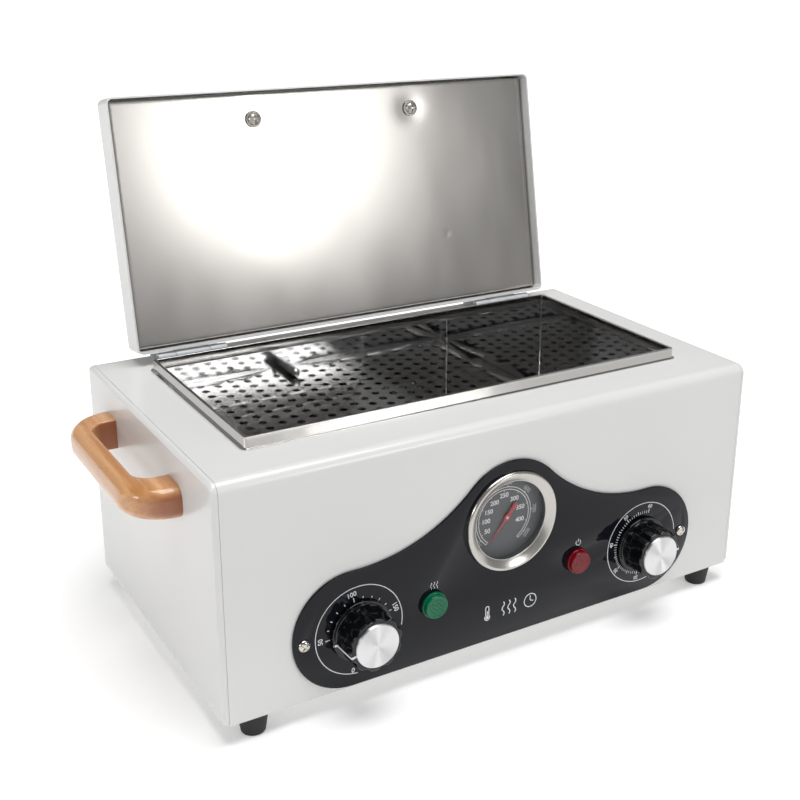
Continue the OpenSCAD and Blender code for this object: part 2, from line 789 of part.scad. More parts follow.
// The right side panel, a shallow pan with rounded edges and holes for its handle
module side_panel() {
    difference() {
        hull() {
            for (a = [0 : 30 : 90])
                along_x(x_out - border_r * (1 - cos(a)) - skin, x_out - border_r * (1 - cos(a)))
                    side_outline(border_r * (1 - sin(a)));
            along_x(x_out - border_w, x_out - border_w + skin) side_outline(0);
        }
        along_x(x_out - border_w - cut, x_out - sheet_t) side_outline(sheet_t - tuck_gap);
        for (s = [-1, 1])
            rod_x(handle_mid_y + s * handle_pitch / 2, handle_mid_z, x_out - sheet_t - cut, x_out + cut,
                screw_hole_r);
    }
    difference() {
        translate([tab_x - tab_w / 2, y_rear - 2 * sheet_t - tuck_gap, z_low + base_edge + sheet_t])
            cube([x_out - sheet_t / 2 - tab_x + tab_w / 2, sheet_t, body_h - base_edge - lip_h - 2 * sheet_t]);
        for (z = rear_screw_zs)
            rod_y(tab_x, z, y_rear - 2 * sheet_t - cut, y_rear, rear_screw_r + tuck_gap);
    }
}

module side_panel_left() {
    color(white) mirror([1, 0, 0]) side_panel();
}

module side_panel_right() {
    color(white) side_panel();
}

module rear_panel() {
    color(white) difference() {
        translate([-panel_x, y_rear - sheet_t, z_low])
            cube([2 * panel_x, sheet_t, body_h - lip_h - seam_gap]);
        for (s = [-1, 1], z = rear_screw_zs)
            rod_y(s * tab_x, z, y_rear - sheet_t - cut, y_rear + cut, rear_screw_r + tuck_gap);
        rod_y(gland_x, gland_height, y_rear - sheet_t - cut, y_rear + cut, gland_r + tuck_gap);
    }
}

module rear_panel_screws() {
    color(steel) for (s = [-1, 1], z = rear_screw_zs) difference() {
        union() {
            mirror([0, 1, 0]) dome_front(s * tab_x, z, -y_rear, rear_head_r, rear_head_h);
            rod_y(s * tab_x, z, y_rear - sheet_t - rear_screw_len, y_rear, rear_screw_r);
        }
        cross_front(s * tab_x, z, y_rear + rear_head_h, rear_head_r, rear_head_h / 2);
    }
}

// The bottom sheet, a tray whose edges turn up behind the front, the sides and the rear
module base_plate() {
    tray_d = body_d - 4 * sheet_t - 2 * tuck_gap;
    flat_d = body_d - 2 * sheet_t - 2 * seam_gap;
    color(white) difference() {
        union() {
            translate([-panel_x, -flat_d / 2, z_low]) cube([2 * panel_x, flat_d, sheet_t]);
            translate([-panel_x, -tray_d / 2, z_low]) cube([2 * panel_x, tray_d, base_edge]);
        }
        translate([-panel_x + sheet_t, -tray_d / 2 + sheet_t, z_low + sheet_t])
            cube([2 * (panel_x - sheet_t), tray_d - 2 * sheet_t, base_edge]);
        for (x = [-foot_x, foot_x], y = [-foot_y, foot_y])
            translate([x, y, z_low - cut]) cylinder(h = base_edge, r = foot_screw_r + tuck_gap);
        translate([earth_x, terminal_y, z_low - cut]) cylinder(h = base_edge, r = earth_r + tuck_gap);
    }
}

module rubber_feet() {
    head_z = foot_h - foot_seat;
    color(black) for (x = [-foot_x, foot_x], y = [-foot_y, foot_y]) translate([x, y, 0]) difference() {
        rotate_extrude() polygon(concat([[0, 0]],
            arc(foot_low_r - foot_round, foot_round, foot_round, -90, 0, 6), [[foot_top_r, foot_h], [0, foot_h]]));
        translate([0, 0, -cut]) cylinder(h = head_z + cut, r = foot_head_r + tuck_gap);
        translate([0, 0, -cut]) cylinder(h = foot_h + 2 * cut, r = foot_screw_r + tuck_gap);
    }
}

module foot_screws() {
    head_z = foot_h - foot_seat;
    color(steel) for (x = [-foot_x, foot_x], y = [-foot_y, foot_y]) translate([x, y, 0]) {
        translate([0, 0, head_z - foot_head_h]) cylinder(h = foot_head_h, r = foot_head_r);
        translate([0, 0, head_z - skin])
            cylinder(h = foot_seat + sheet_t + foot_screw_up + skin, r = foot_screw_r);
    }
}

module foot_nuts() {
    color(steel) for (x = [-foot_x, foot_x], y = [-foot_y, foot_y]) translate([x, y, z_low + sheet_t])
        difference() {
            cylinder(h = foot_nut_h, r = foot_nut_af / sqrt(3), $fn = 6);
            translate([0, 0, -cut]) cylinder(h = foot_nut_h + 2 * cut, r = foot_screw_r + bush_gap);
        }
}

module chamber_liner() {
    color(steel) difference() {
        translate([0, rim_y, liner_z]) linear_extrude(rim_top - rim_fold - fold_gap - liner_z)
            pad(liner_w, liner_d, liner_r);
        translate([0, rim_y, liner_in_z]) linear_extrude(rim_top - liner_in_z)
            pad(liner_w - 2 * liner_t, liner_d - 2 * liner_t, liner_r - liner_t);
        rod_y(0, dial_z, liner_front - cut, liner_front + liner_t + cut, stem_r + bush_gap);
        for (s = [-1, 1])
            rod_y(s * heater_half_w, heater_z, liner_rear - liner_t - cut, liner_rear + cut, bush_hole_r);
        rod_x(bulb_y, heater_z, -liner_w / 2 - cut, -liner_w / 2 + liner_t + cut, capillary_r + capillary_gap);
    }
}

// The stainless frame that is folded over the liner's edge
module chamber_rim() {
    color(steel) translate([0, rim_y, z_top]) difference() {
        union() {
            linear_extrude(rim_h) pad(rim_w, rim_d, rim_r);
            linear_extrude(rim_foot_t)
                pad(rim_w + 2 * rim_foot_w, rim_d + 2 * rim_foot_w, rim_r + rim_foot_w);
        }
        translate([0, 0, -cut]) linear_extrude(rim_h + 2 * cut)
            pad(rim_w - 2 * rim_t, rim_d - 2 * rim_t, liner_r - liner_t);
        translate([0, 0, -cut]) linear_extrude(rim_h - rim_fold + cut) difference() {
            pad(liner_w + 2 * fold_gap, liner_d + 2 * fold_gap, liner_r + fold_gap);
            pad(rim_w - 2 * (rim_t - fold_leg), rim_d - 2 * (rim_t - fold_leg), liner_r - liner_t);
        }
    }
}

// The perforated false floor, with corner legs down to the liner's bottom and a notch for the stem's nut
module chamber_floor() {
    color(steel) difference() {
        translate([0, rim_y, 0]) floor_sheet();
        rod_x(bulb_y, heater_z, -floor_w / 2 - cut, -floor_w / 2 + floor_t + cut, capillary_r + capillary_gap);
    }
}

// The floor's flat sheet and its legs, centred on the chamber
module floor_sheet() {
    legs = [floor_w - 2 * skirt_corner, floor_d - 2 * skirt_corner];
    union() {
        translate([0, 0, floor_z - floor_t]) linear_extrude(floor_t) difference() {
            square([floor_w, floor_d], center = true);
            translate([-notch_w / 2, -floor_d / 2 - cut]) square([notch_w, notch_d + cut]);
            for (i = [-hole_cols : hole_cols], j = [-hole_rows : hole_rows])
                translate([i * hole_pitch_x, (j + (i % 2 == 0 ? 0 : 0.5)) * hole_pitch_y])
                    circle(floor_hole_r, $fn = 24);
        }
        translate([0, 0, floor_z - floor_t - skirt_down]) linear_extrude(skirt_down) difference() {
            square([floor_w, floor_d], center = true);
            square([floor_w - 2 * floor_t, floor_d - 2 * floor_t], center = true);
            square([legs.x, floor_d + cut], center = true);
            square([floor_w + cut, legs.y], center = true);
        }
    }
}

module heater_element() {
    w = heater_half_w;
    ys = heater_ys;
    path = [[w, heater_end, 0], [w, ys[0], 0], [-w, ys[0], 0], [-w, ys[1], 0], [heater_short_x, ys[1], 0],
        [heater_short_x, ys[2], 0], [-w, ys[2], 0], [-w, heater_end, 0]];
    color("#5c5450") translate([0, 0, heater_z]) bent_tube(path, heater_r, heater_bend);
}

// The ceramic bushes that carry the heater's ends through the liner
module heater_bushes() {
    color("#efe9dc") for (s = [-1, 1]) difference() {
        union() {
            rod_y(s * heater_half_w, heater_z, liner_rear - liner_t - bush_len, liner_rear + bush_len, bush_r);
            rod_y(s * heater_half_w, heater_z, liner_rear, liner_rear + bush_len / 2, bush_collar_r);
        }
        rod_y(s * heater_half_w, heater_z, liner_rear - liner_t - bush_len - cut, liner_rear + bush_len + cut,
            heater_r + bush_gap);
    }
}

// The saddles that hold the heating tube off the liner's bottom
module heater_clips() {
    arch_r = heater_r + clip_gap + clip_t;
    color(steel) for (x = [clip_left_in - heater_half_w, heater_short_x - clip_right_in], y = heater_ys)
        translate([x - clip_w / 2, y, 0]) rotate([90, 0, 90]) linear_extrude(clip_w)
            difference() {
                union() {
                    translate([0, heater_z]) circle(arch_r);
                    translate([-arch_r, liner_in_z]) square([2 * arch_r, heater_z - liner_in_z]);
                }
                translate([0, heater_z]) circle(heater_r + clip_gap);
                translate([-heater_r - clip_gap, liner_in_z - cut])
                    square([2 * (heater_r + clip_gap), heater_z - liner_in_z + cut]);
            }
}

module insulation_jacket() {
    color(wool) difference() {
        translate([0, rim_y, liner_z]) linear_extrude(z_top - jacket_drop - liner_z) difference() {
            square([liner_w, liner_d] + 2 * (jacket_gap + jacket_t) * [1, 1], center = true);
            square([liner_w, liner_d] + 2 * jacket_gap * [1, 1], center = true);
        }
        rod_y(0, dial_z, liner_front - 2 * jacket_t, liner_front, stem_r + jacket_gap);
        for (s = [-1, 1])
            rod_y(s * heater_half_w, heater_z, liner_rear, liner_rear + 2 * jacket_t, jacket_hole_r);
        rod_x(bulb_y, heater_z, -liner_w / 2 - 2 * jacket_t, -liner_w / 2, capillary_r + capillary_gap);
    }
}

module insulation_pad() {
    color(wool) translate([-liner_w / 2, liner_front + pad_front, liner_z - jacket_gap - pad_t])
        cube([liner_w, liner_d - pad_front, pad_t]);
}

// A control's threaded neck, through the front and the fascia
module neck(x, y_body) {
    rod_y(x, control_z, fascia_y - neck_out, y_body, neck_r);
}

// The bore in a control and its neck in which the shaft runs
module shaft_bore(x) {
    rod_y(x, control_z, fascia_y - neck_out - cut, y_front + shaft_in + shaft_gap, shaft_r + shaft_gap);
}

module thermostat_body() {
    y0 = y_front + sheet_t;
    y1 = y0 + thermostat_d;
    color("#c9c6bd") difference() {
        union() {
            rod_y(-knob_x, control_z, y0, y1, thermostat_r);
            neck(-knob_x, y0);
            for (s = [-1, 1]) translate([-knob_x + (s * blade_pitch - blade_w) / 2, y1 - skin, control_z])
                cube([blade_w, blade_len, blade_t]);
        }
        shaft_bore(-knob_x);
    }
}

// The bulb under the perforated floor and the thin tube that joins it to the thermostat
module thermostat_capillary() {
    y0 = y_front + sheet_t + thermostat_d;
    x0 = -knob_x - thermostat_r / 2;
    z0 = control_z + thermostat_r / 2;
    x1 = -liner_w / 2 - jacket_t - capillary_out;
    bulb_x = -liner_w / 2 + liner_t + bulb_in;
    path = [[x0, y0, z0], [x0, bulb_y, z0], [x1, bulb_y, z0], [x1, bulb_y, heater_z],
        [bulb_x + skin, bulb_y, heater_z]];
    color("#b87a4b") {
        bent_tube(path, capillary_r, capillary_bend);
        rod_x(bulb_y, heater_z, bulb_x, bulb_x + bulb_len, bulb_r);
    }
}

module timer_body() {
    y0 = y_front + sheet_t;
    y1 = y0 + timer_d;
    color("#d9d7d0") difference() {
        union() {
            translate([knob_x - timer_s / 2, y0, control_z - timer_s / 2]) cube([timer_s, timer_d, timer_s]);
            neck(knob_x, y0);
            for (s = [-1, 1]) translate([knob_x + (s * blade_pitch - blade_w) / 2, y1 - skin, control_z])
                cube([blade_w, blade_len, blade_t]);
        }
        shaft_bore(knob_x);
    }
}

module neck_nuts() {
    color(steel) for (s = [-1, 1])
        nut_y(s * knob_x, control_z, fascia_y - neck_nut_h, fascia_y, neck_nut_af, neck_r + bush_gap);
}

// Half of the fascia's outline: an end lobe, a hollow curve and the hump round the dial
function fascia_half() =
    let(rise = dial_z - lobe_z, span = norm([lobe_x, rise]), u = [lobe_x, rise] / span,
        a = ((lobe_r + valley_r) ^ 2 - (hump_r + valley_r) ^ 2 + span ^ 2) / (2 * span),
        b = sqrt((lobe_r + valley_r) ^ 2 - a ^ 2),
        v = [-lobe_x + a * u.x - b * u.y, lobe_z + a * u.y + b * u.x],
        at_lobe = atan2(v.y - lobe_z, v.x + lobe_x), at_hump = atan2(v.y - dial_z, v.x))
    concat(arc(-lobe_x, lobe_z, lobe_r, 270, at_lobe, 32),
        arc(v.x, v.y, valley_r, at_lobe + 180, at_hump + 180, 16),
        arc(0, dial_z, hump_r, at_hump, 90, 12));

module fascia_plate() {
    half = fascia_half();
    other = [for (i = [len(half) - 2 : -1 : 0]) [-half[i].x, half[i].y]];
    color(black) difference() {
        translate([0, y_front, 0]) rotate([90, 0, 0]) linear_extrude(fascia_t) polygon(concat(half, other));
        front_holes(fascia_y - cut, y_front + cut);
    }
}

module fascia_screws() {
    color(steel) for (s = [-1, 1]) difference() {
        union() {
            dome_front(s * fascia_screw_x, control_z, fascia_y, fascia_head_r, fascia_head_h);
            rod_y(s * fascia_screw_x, control_z, fascia_y - skin, fascia_y + fascia_screw_len, fascia_screw_r);
        }
        cross_front(s * fascia_screw_x, control_z, fascia_y - fascia_head_h, fascia_head_r, fascia_head_h / 2);
    }
}

module gauge_case() {
    back = y_front + case_depth;
    dial_back = y_front + dial_depth + dial_t;
    color("#8d8f92") difference() {
        rod_y(0, dial_z, case_y, back, case_r);
        rod_y(0, dial_z, case_y - cut, dial_back, case_r - case_t);
        rod_y(0, dial_z, dial_back - skin, back - case_t, case_r - 2 * case_t);
        rod_y(0, dial_z, back - case_t - cut, back + cut, spindle_r + spindle_gap);
    }
}

module gauge_dial() {
    y0 = y_front + dial_depth;
    color("#303236") difference() {
        rod_y(0, dial_z, y0, y0 + dial_t, case_r - case_t - glass_gap);
        rod_y(0, dial_z, y0 - cut, y0 + dial_t + cut, spindle_r + spindle_gap);
    }
}

// The bezel, whose face falls from its rim to the opening
module gauge_bezel() {
    front = y_front - bezel_out;
    lip_back = case_y - glass_t - glass_gap;
    seat_r = case_r - case_t / 2 + glass_gap;
    lip_front = lip_back - lip_t;
    lip_round = lip_t / 2;
    color(steel) turned_y(0, dial_z, concat([[bezel_r, fascia_y]],
        [for (a = [0 : 15 : 90]) [bezel_r - bezel_round * (1 - cos(a)), front + bezel_round * (1 - sin(a))]],
        [for (a = [90 : -15 : 0]) [bezel_open_r + lip_round * (1 - cos(a)), lip_front + lip_round * (1 - sin(a))]],
        [[bezel_open_r, lip_back], [seat_r, lip_back], [seat_r, fascia_y]]));
}

module gauge_glass() {
    color("#dfe8ea55") rod_y(0, dial_z, case_y - glass_t, case_y, case_r - case_t / 2);
}

// The hollow stem, which holds the bimetal coil that turns the needle
module gauge_stem() {
    back = y_front + case_depth;
    tip = liner_front + liner_t + stem_in;
    color(steel) difference() {
        union() {
            rod_y(0, dial_z, back, tip - stem_r, stem_r);
            translate([0, tip - stem_r, dial_z]) sphere(stem_r);
        }
        rod_y(0, dial_z, back - cut, tip - stem_r, stem_r - stem_t);
    }
}

module gauge_stem_nut() {
    y0 = liner_front + liner_t;
    color(steel) nut_y(0, dial_z, y0, y0 + stem_nut_h, stem_nut_af, stem_r + bush_gap);
}

module gauge_needle() {
    y0 = y_front + needle_depth;
    tail = needle_w / 2;
    color("#c4262c") {
        translate([0, y0 + needle_t, dial_z]) rotate([0, 180 + needle_rest, 0]) rotate([90, 0, 0])
            linear_extrude(needle_t)
                polygon([[0, needle_len], [-tail / 2, tail], [-tail, -needle_tail + tail], [0, -needle_tail],
                    [tail, -needle_tail + tail], [tail / 2, tail]]);
        rod_y(0, dial_z, y0 - hub_over, y0 + needle_t + hub_over, hub_r);
        rod_y(0, dial_z, y0, y_front + dial_depth + spindle_len, spindle_r);
    }
}

module lamp_lens(x) {
    back = fascia_y - lens_flange_t;
    difference() {
        union() {
            rod_y(x, glow_z, back, fascia_y, lens_flange_r);
            turned_y(x, glow_z, [[0, back + skin], [0, fascia_y - lens_h], [lens_r - lens_t, fascia_y - lens_h],
                [lens_r, fascia_y - lens_h + lens_t], [lens_r, back + skin]]);
        }
        rod_y(x, glow_z, fascia_y - lens_h + lens_t, fascia_y + cut, lamp_r - lens_t);
    }
}

module lamp_green_lens() {
    color("#0f8a56") lamp_lens(-lamp_x - lamp_left);
}

module lamp_red_lens() {
    color("#b3202c") lamp_lens(lamp_x - lamp_left);
}

// The lamp bodies, with the glow tube that stands in the lens
module lamp_bodies() {
    color(black) for (s = [-1, 1]) {
        x = s * lamp_x - lamp_left;
        rod_y(x, glow_z, fascia_y, fascia_y + lamp_len, lamp_r);
        rod_y(x, glow_z, fascia_y - lens_h + 2 * lens_t, fascia_y + skin, glow_r);
        for (k = [-1, 1]) translate([x + k * lamp_r / 2 - blade_t / 2, fascia_y + lamp_len - skin,
            glow_z - lamp_blade_w / 2]) cube([blade_t, blade_len, lamp_blade_w]);
    }
}

module lamp_nuts() {
    y0 = y_front + sheet_t;
    color(steel) for (s = [-1, 1])
        nut_y(s * lamp_x - lamp_left, glow_z, y0, y0 + lamp_nut_h, lamp_nut_af, lamp_r + bush_gap);
}

// A knob with its pointer straight up: skirt, fluted grip, hollow back and a seat for the cap
module knob() {
    skirt_front = knob_y - skirt_t;
    skirt_top = skirt_r - skirt_t + skirt_edge;
    difference() {
        union() {
            turned_y(0, 0, [[0, knob_y], [skirt_r, knob_y], [skirt_r, knob_y - skirt_edge],
                [skirt_top, skirt_front], [0, skirt_front]]);
            difference() {
                turned_y(0, 0, [[0, skirt_front], [grip_base_r, skirt_front], [grip_r, grip_y + grip_chamfer],
                    [grip_r - grip_chamfer, grip_y], [0, grip_y]]);
                for (i = [0 : flutes - 1]) rotate([0, 360 * (i + 0.5) / flutes, 0])
                    rod_y(0, grip_r + flute_r - flute_depth, grip_y - cut, skirt_front - skirt_t / 2, flute_r);
            }
            translate([-pointer_w / 2, skirt_front - pointer_h, grip_base_r - pointer_w])
                cube([pointer_w, pointer_h + skin, skirt_top - grip_base_r + pointer_w]);
        }
        rod_y(0, 0, grip_y - cut, cap_y, cap_r + cap_gap);
        rod_y(0, 0, knob_y - hollow_h, knob_y + cut, hollow_r);
        rod_y(0, 0, shaft_end - shaft_gap, knob_y, shaft_r + cap_gap);
    }
}

module knob_cap(x) {
    color("#d7d8d9") turned_y(x, control_z, [[0, cap_y], [cap_r, cap_y], [cap_r, grip_y - cap_out / 2],
        [cap_r - cap_out / 2, grip_y - cap_out], [0, grip_y - cap_out]]);
}

module control_shaft(x) {
    color(steel) rod_y(x, control_z, shaft_end, y_front + shaft_in, shaft_r);
}

module thermostat_knob() {
    color(black) translate([-knob_x, 0, control_z]) rotate([0, thermostat_rest, 0]) knob();
}

module thermostat_knob_cap() {
    knob_cap(-knob_x);
}

module thermostat_shaft() {
    control_shaft(-knob_x);
}

module timer_knob() {
    color(black) translate([knob_x, 0, control_z]) rotate([0, timer_rest, 0]) knob();
}

module timer_knob_cap() {
    knob_cap(knob_x);
}

module timer_shaft() {
    control_shaft(knob_x);
}

// One rounded section of a handle between its outer point o and its inner point i, in (length, reach)
function grip_ring(o, i) =
    let(w = norm(o - i), d = (o - i) / w, m = (o + i) / 2, r = handle_edge_r)
    [for (q = [0 : 3], k = [0 : 4]) let(a = 90 * q + 22.5 * k,
        s = (q == 0 || q == 3 ? 1 : -1) * (w / 2 - r) + r * cos(a),
        t = (q < 2 ? 1 : -1) * (handle_h / 2 - r) + r * sin(a)) [m.x + d.x * s, t, m.y + d.y * s]];

// A bow handle that stands on z = 0, with its length along X and two pilot bores
module bow_handle(length) {
    half = length / 2;
    left = concat([[[-half, 0], [-half + handle_leg, 0]]],
        [for (a = [0 : 15 : 90]) [
            [-half + handle_out_r * (1 - cos(a)), handle_reach - handle_out_r * (1 - sin(a))],
            [-half + handle_leg + handle_in_r * (1 - cos(a)),
                handle_reach - handle_bar - handle_in_r * (1 - sin(a))]]]);
    count = len(left);
    pairs = concat(left, [for (k = [count - 1 : -1 : 0])
        [[-left[k][0].x, left[k][0].y], [-left[k][1].x, left[k][1].y]]]);
    rings = [for (p = pairs) grip_ring(p[0], p[1])];
    n = len(rings[0]);
    end = (len(rings) - 1) * n;
    sides = [for (j = [0 : len(rings) - 2], k = [0 : n - 1]) let(a = j * n + k, b = j * n + (k + 1) % n)
        each [[a, a + n, b + n], [a, b + n, b]]];
    color(wood) difference() {
        polyhedron(points = [for (ring = rings) each ring],
            faces = concat([[for (k = [0 : n - 1]) k]], sides, [[for (k = [n - 1 : -1 : 0]) end + k]]));
        for (s = [-1, 1]) translate([s * (length - handle_leg) / 2, 0, -cut])
            cylinder(h = cut + handle_screw_in + tuck_gap, r = handle_screw_r + bush_gap);
    }
}

module handle_right() {
    mirror([1, 0, 0]) handle_left();
}

module handle_left() {
    translate([-x_out, handle_mid_y, handle_mid_z]) rotate([0, -90, 0]) rotate([0, 0, 90])
        bow_handle(handle_len);
}

module handle_screws() {
    color(steel) for (m = [0, 1], s = [-1, 1]) mirror([m, 0, 0]) {
        y = handle_mid_y + s * handle_pitch / 2;
        rod_x(y, handle_mid_z, x_out - sheet_t - handle_head_h, x_out - sheet_t, handle_head_r);
        rod_x(y, handle_mid_z, x_out - sheet_t - skin, x_out + handle_screw_in, handle_screw_r);
    }
}

// One stretch of a hinge's barrel, centred on x
module knuckle(x, length) {
    rod_x(hinge_y, hinge_z, x - length / 2, x + length / 2, knuckle_r);
}

module pin_bore(x) {
    rod_x(hinge_y, hinge_z, x - hinge_len, x + hinge_len, pin_bore_r);
}

// The leaves on the casing, each with the two outer knuckles
module hinge_body_leaves() {
    outer = (hinge_len - knuckle_mid) / 2 - knuckle_gap;
    mid_cut = knuckle_mid / 2 + knuckle_gap;
    color(steel) for (x = [-hinge_x, hinge_x]) difference() {
        union() {
            translate([x - hinge_len / 2, hinge_y, z_top]) cube([hinge_len, leaf_reach, leaf_t]);
            for (s = [-1, 1]) knuckle(x + s * (hinge_len - outer) / 2, outer);
        }
        translate([x - mid_cut, hinge_y - cut, z_top - cut])
            cube([2 * mid_cut, knuckle_r + cut + 2 * knuckle_gap, leaf_t + 2 * cut]);
        pin_bore(x);
        for (s = [-1, 1]) translate([x + s * rivet_x, hinge_y + rivet_reach, z_top - cut])
            cylinder(h = leaf_t + 2 * cut, r = rivet_shank_r + bush_gap);
    }
}

module hinge_pins() {
    color(steel) for (x = [-hinge_x, hinge_x])
        rod_x(hinge_y, hinge_z, x - hinge_len / 2, x + hinge_len / 2, hinge_pin_r);
}

// A rivet that stands on its leaf with the head upwards
module rivet(leaf) {
    rotate_extrude() polygon(concat([[0, 0]], [for (a = [0 : 15 : 90]) [rivet_r * cos(a), rivet_h * sin(a)]]));
    translate([0, 0, -leaf]) cylinder(h = leaf + skin, r = rivet_shank_r);
}

module hinge_body_rivets() {
    color(steel) for (x = [-hinge_x, hinge_x], s = [-1, 1])
        translate([x + s * rivet_x, hinge_y + rivet_reach, z_top + leaf_t]) rivet(leaf_t);
}

// The leaves on the lid's rear skirt, each with the middle knuckle
module hinge_lid_leaves() {
    low = hinge_z + knuckle_r + 2 * knuckle_gap;
    root_w = knuckle_mid;
    color(steel) opened() for (x = [-hinge_x, hinge_x]) difference() {
        union() {
            translate([x - hinge_len / 2, lid_rear, low]) cube([hinge_len, lid_leaf_t, lid_leaf_h - knuckle_r]);
            translate([x - root_w / 2, lid_rear, hinge_z]) cube([root_w, lid_leaf_t, lid_leaf_h]);
            translate([x - root_w / 2, lid_rear, hinge_z]) cube([root_w, hinge_set + knuckle_r, knuckle_r]);
            knuckle(x, knuckle_mid);
        }
        pin_bore(x);
        for (s = [-1, 1])
            rod_y(x + s * rivet_x, hinge_z + rivet_reach, lid_rear - cut, lid_rear + lid_leaf_t + cut,
                rivet_shank_r + bush_gap);
    }
}

module hinge_lid_rivets() {
    color(steel) opened() for (x = [-hinge_x, hinge_x], s = [-1, 1])
        translate([x + s * rivet_x, lid_rear + lid_leaf_t, hinge_z + rivet_reach]) rotate([-90, 0, 0])
            rivet(lid_leaf_t);
}

module lid_shell() {
    color(white) opened() difference() {
        translate([0, lid_y, lid_z]) hull() {
            linear_extrude(skin) corners(lid_w, lid_d, lid_corner_r);
            for (a = [0 : 22.5 : 90]) translate([0, 0, lid_h - lid_edge_r * (1 - sin(a)) - skin])
                linear_extrude(skin) corners(lid_w - 2 * lid_edge_r * (1 - cos(a)),
                    lid_d - 2 * lid_edge_r * (1 - cos(a)), lid_corner_r - lid_edge_r * (1 - cos(a)));
        }
        translate([0, lid_y, lid_z - cut]) linear_extrude(lid_h - sheet_t + cut)
            pad(lid_w - 2 * sheet_t, lid_d - 2 * sheet_t, lid_corner_r - sheet_t);
        for (s = [-1, 1]) translate([s * lid_screw_x, lid_screw_y, lid_top - sheet_t - cut])
            cylinder(h = sheet_t + 2 * cut, r = screw_hole_r);
    }
}

module lid_liner() {
    color(steel) opened() difference() {
        translate([0, lid_y, pan_z]) hull() {
            translate([0, 0, pan_h - skin]) linear_extrude(skin) corners(pan_w, pan_d, pan_edge_r);
            for (a = [0 : 30 : 90]) translate([0, 0, pan_edge_r * (1 - sin(a))]) linear_extrude(skin)
                corners(pan_w - 2 * pan_edge_r * (1 - cos(a)), pan_d - 2 * pan_edge_r * (1 - cos(a)),
                    pan_edge_r * cos(a) + skin);
        }
        translate([0, lid_y, pan_z + pan_t]) linear_extrude(pan_h)
            square([pan_w - 2 * pan_t, pan_d - 2 * pan_t], center = true);
        for (s = [-1, 1]) translate([s * lid_screw_x, lid_screw_y, pan_z - cut])
            cylinder(h = pan_t + 2 * cut, r = screw_hole_r);
    }
}

module lid_insulation() {
    w = pan_w - 2 * (pan_t + wool_gap);
    d = pan_d - 2 * (pan_t + wool_gap);
    base = pan_z + pan_t;
    color(wool) opened() difference() {
        translate([-w / 2, lid_y - d / 2, base]) cube([w, d, wool_top - base]);
        for (s = [-1, 1]) translate([s * lid_screw_x, lid_screw_y, base - cut])
            cylinder(h = wool_top - base + 2 * cut, r = screw_hole_r + wool_gap);
    }
}

module lid_handle() {
    opened() translate([0, lid_screw_y, lid_top]) bow_handle(lid_handle_len);
}

// The long screws through the pan and the lid into the handle
module lid_screws() {
    color(steel) opened() for (s = [-1, 1]) translate([s * lid_screw_x, lid_screw_y, pan_z - washer_t])
        difference() {
            union() {
                rotate([180, 0, 0]) rotate_extrude() polygon(concat([[0, 0]],
                    [for (a = [0 : 15 : 90]) [lid_head_r * cos(a), lid_head_h * sin(a)]]));
                translate([0, 0, -skin])
                    cylinder(h = lid_top + handle_screw_in - pan_z + washer_t, r = handle_screw_r);
            }
            translate([0, 0, -lid_head_h]) for (a = [0, 90]) rotate([0, 0, a])
                cube([cross_span * lid_head_r, cross_slot * lid_head_r, lid_head_h], center = true);
        }
}

module lid_washers() {
    color(steel) opened() for (s = [-1, 1]) translate([s * lid_screw_x, lid_screw_y, pan_z - washer_t])
        difference() {
            cylinder(h = washer_t, r = washer_r);
            translate([0, 0, -cut]) cylinder(h = washer_t + 2 * cut, r = screw_hole_r);
        }
}

module cord_gland() {
    color(black) difference() {
        union() {
            turned_y(gland_x, gland_height, [[0, y_rear], [gland_collar_r, y_rear],
                [gland_collar_r, y_rear + gland_collar_t], [gland_r, y_rear + gland_collar_t],
                [gland_r - gland_taper, y_rear + gland_out], [0, y_rear + gland_out]]);
            rod_y(gland_x, gland_height, y_rear - sheet_t - gland_in, y_rear + skin, gland_r);
        }
        rod_y(gland_x, gland_height, y_rear - sheet_t - gland_in - cut, y_rear + gland_out + cut, gland_bore_r);
    }
}

module gland_nut() {
    color(black) nut_y(gland_x, gland_height, y_rear - sheet_t - gland_nut_h, y_rear - sheet_t, gland_nut_af,
        gland_r + bush_gap);
}

module terminal_block() {
    color("#e4e1d6") translate([terminal_x, terminal_y, z_low + sheet_t]) difference() {
        translate([-terminal_w / 2, -terminal_d / 2, 0]) cube([terminal_w, terminal_d, terminal_h]);
        for (i = [-1 : 1]) {
            rod_y(i * terminal_pitch, terminal_h / 2, -terminal_d / 2 - cut, terminal_d / 2 + cut,
                terminal_bore_r);
            translate([i * terminal_pitch, 0, terminal_h / 2]) cylinder(h = terminal_h, r = terminal_bore_r);
        }
    }
}

module earth_stud() {
    z0 = z_low + sheet_t;
    color("#c8a24a") translate([earth_x, terminal_y, 0]) {
        translate([0, 0, z_low + skin]) cylinder(h = earth_h, r = earth_r);
        translate([0, 0, z0]) cylinder(h = earth_nut_h, r = earth_nut_af / sqrt(3), $fn = 6);
    }
}

// A wire from terminal hole i along the base plate, then up to the blade terminal at (x, tip, z)
function supply_wire(i, y_turn, x, tip, z) =
    let(x0 = terminal_x + i * terminal_pitch, z0 = z_low + sheet_t + terminal_h / 2, y1 = tip + 2 * wire_bend)
    [[x0, terminal_y - terminal_d / 2 + wire_in, z0], [x0, y_turn, z0], [x, y_turn, z0], [x, y1, z0],
        [x, y1, z], [x, tip, z]];

// A wire from the blade terminal at (x, tip) under the chamber to the heater's pin on side s
function heater_wire(s, x, tip) =
    let(y1 = heater_end + 2 * wire_bend)
    [[x, tip, control_z], [x, y1, control_z], [s * heater_half_w, y1, control_z],
        [s * heater_half_w, y1, heater_z], [s * heater_half_w, heater_end, heater_z]];

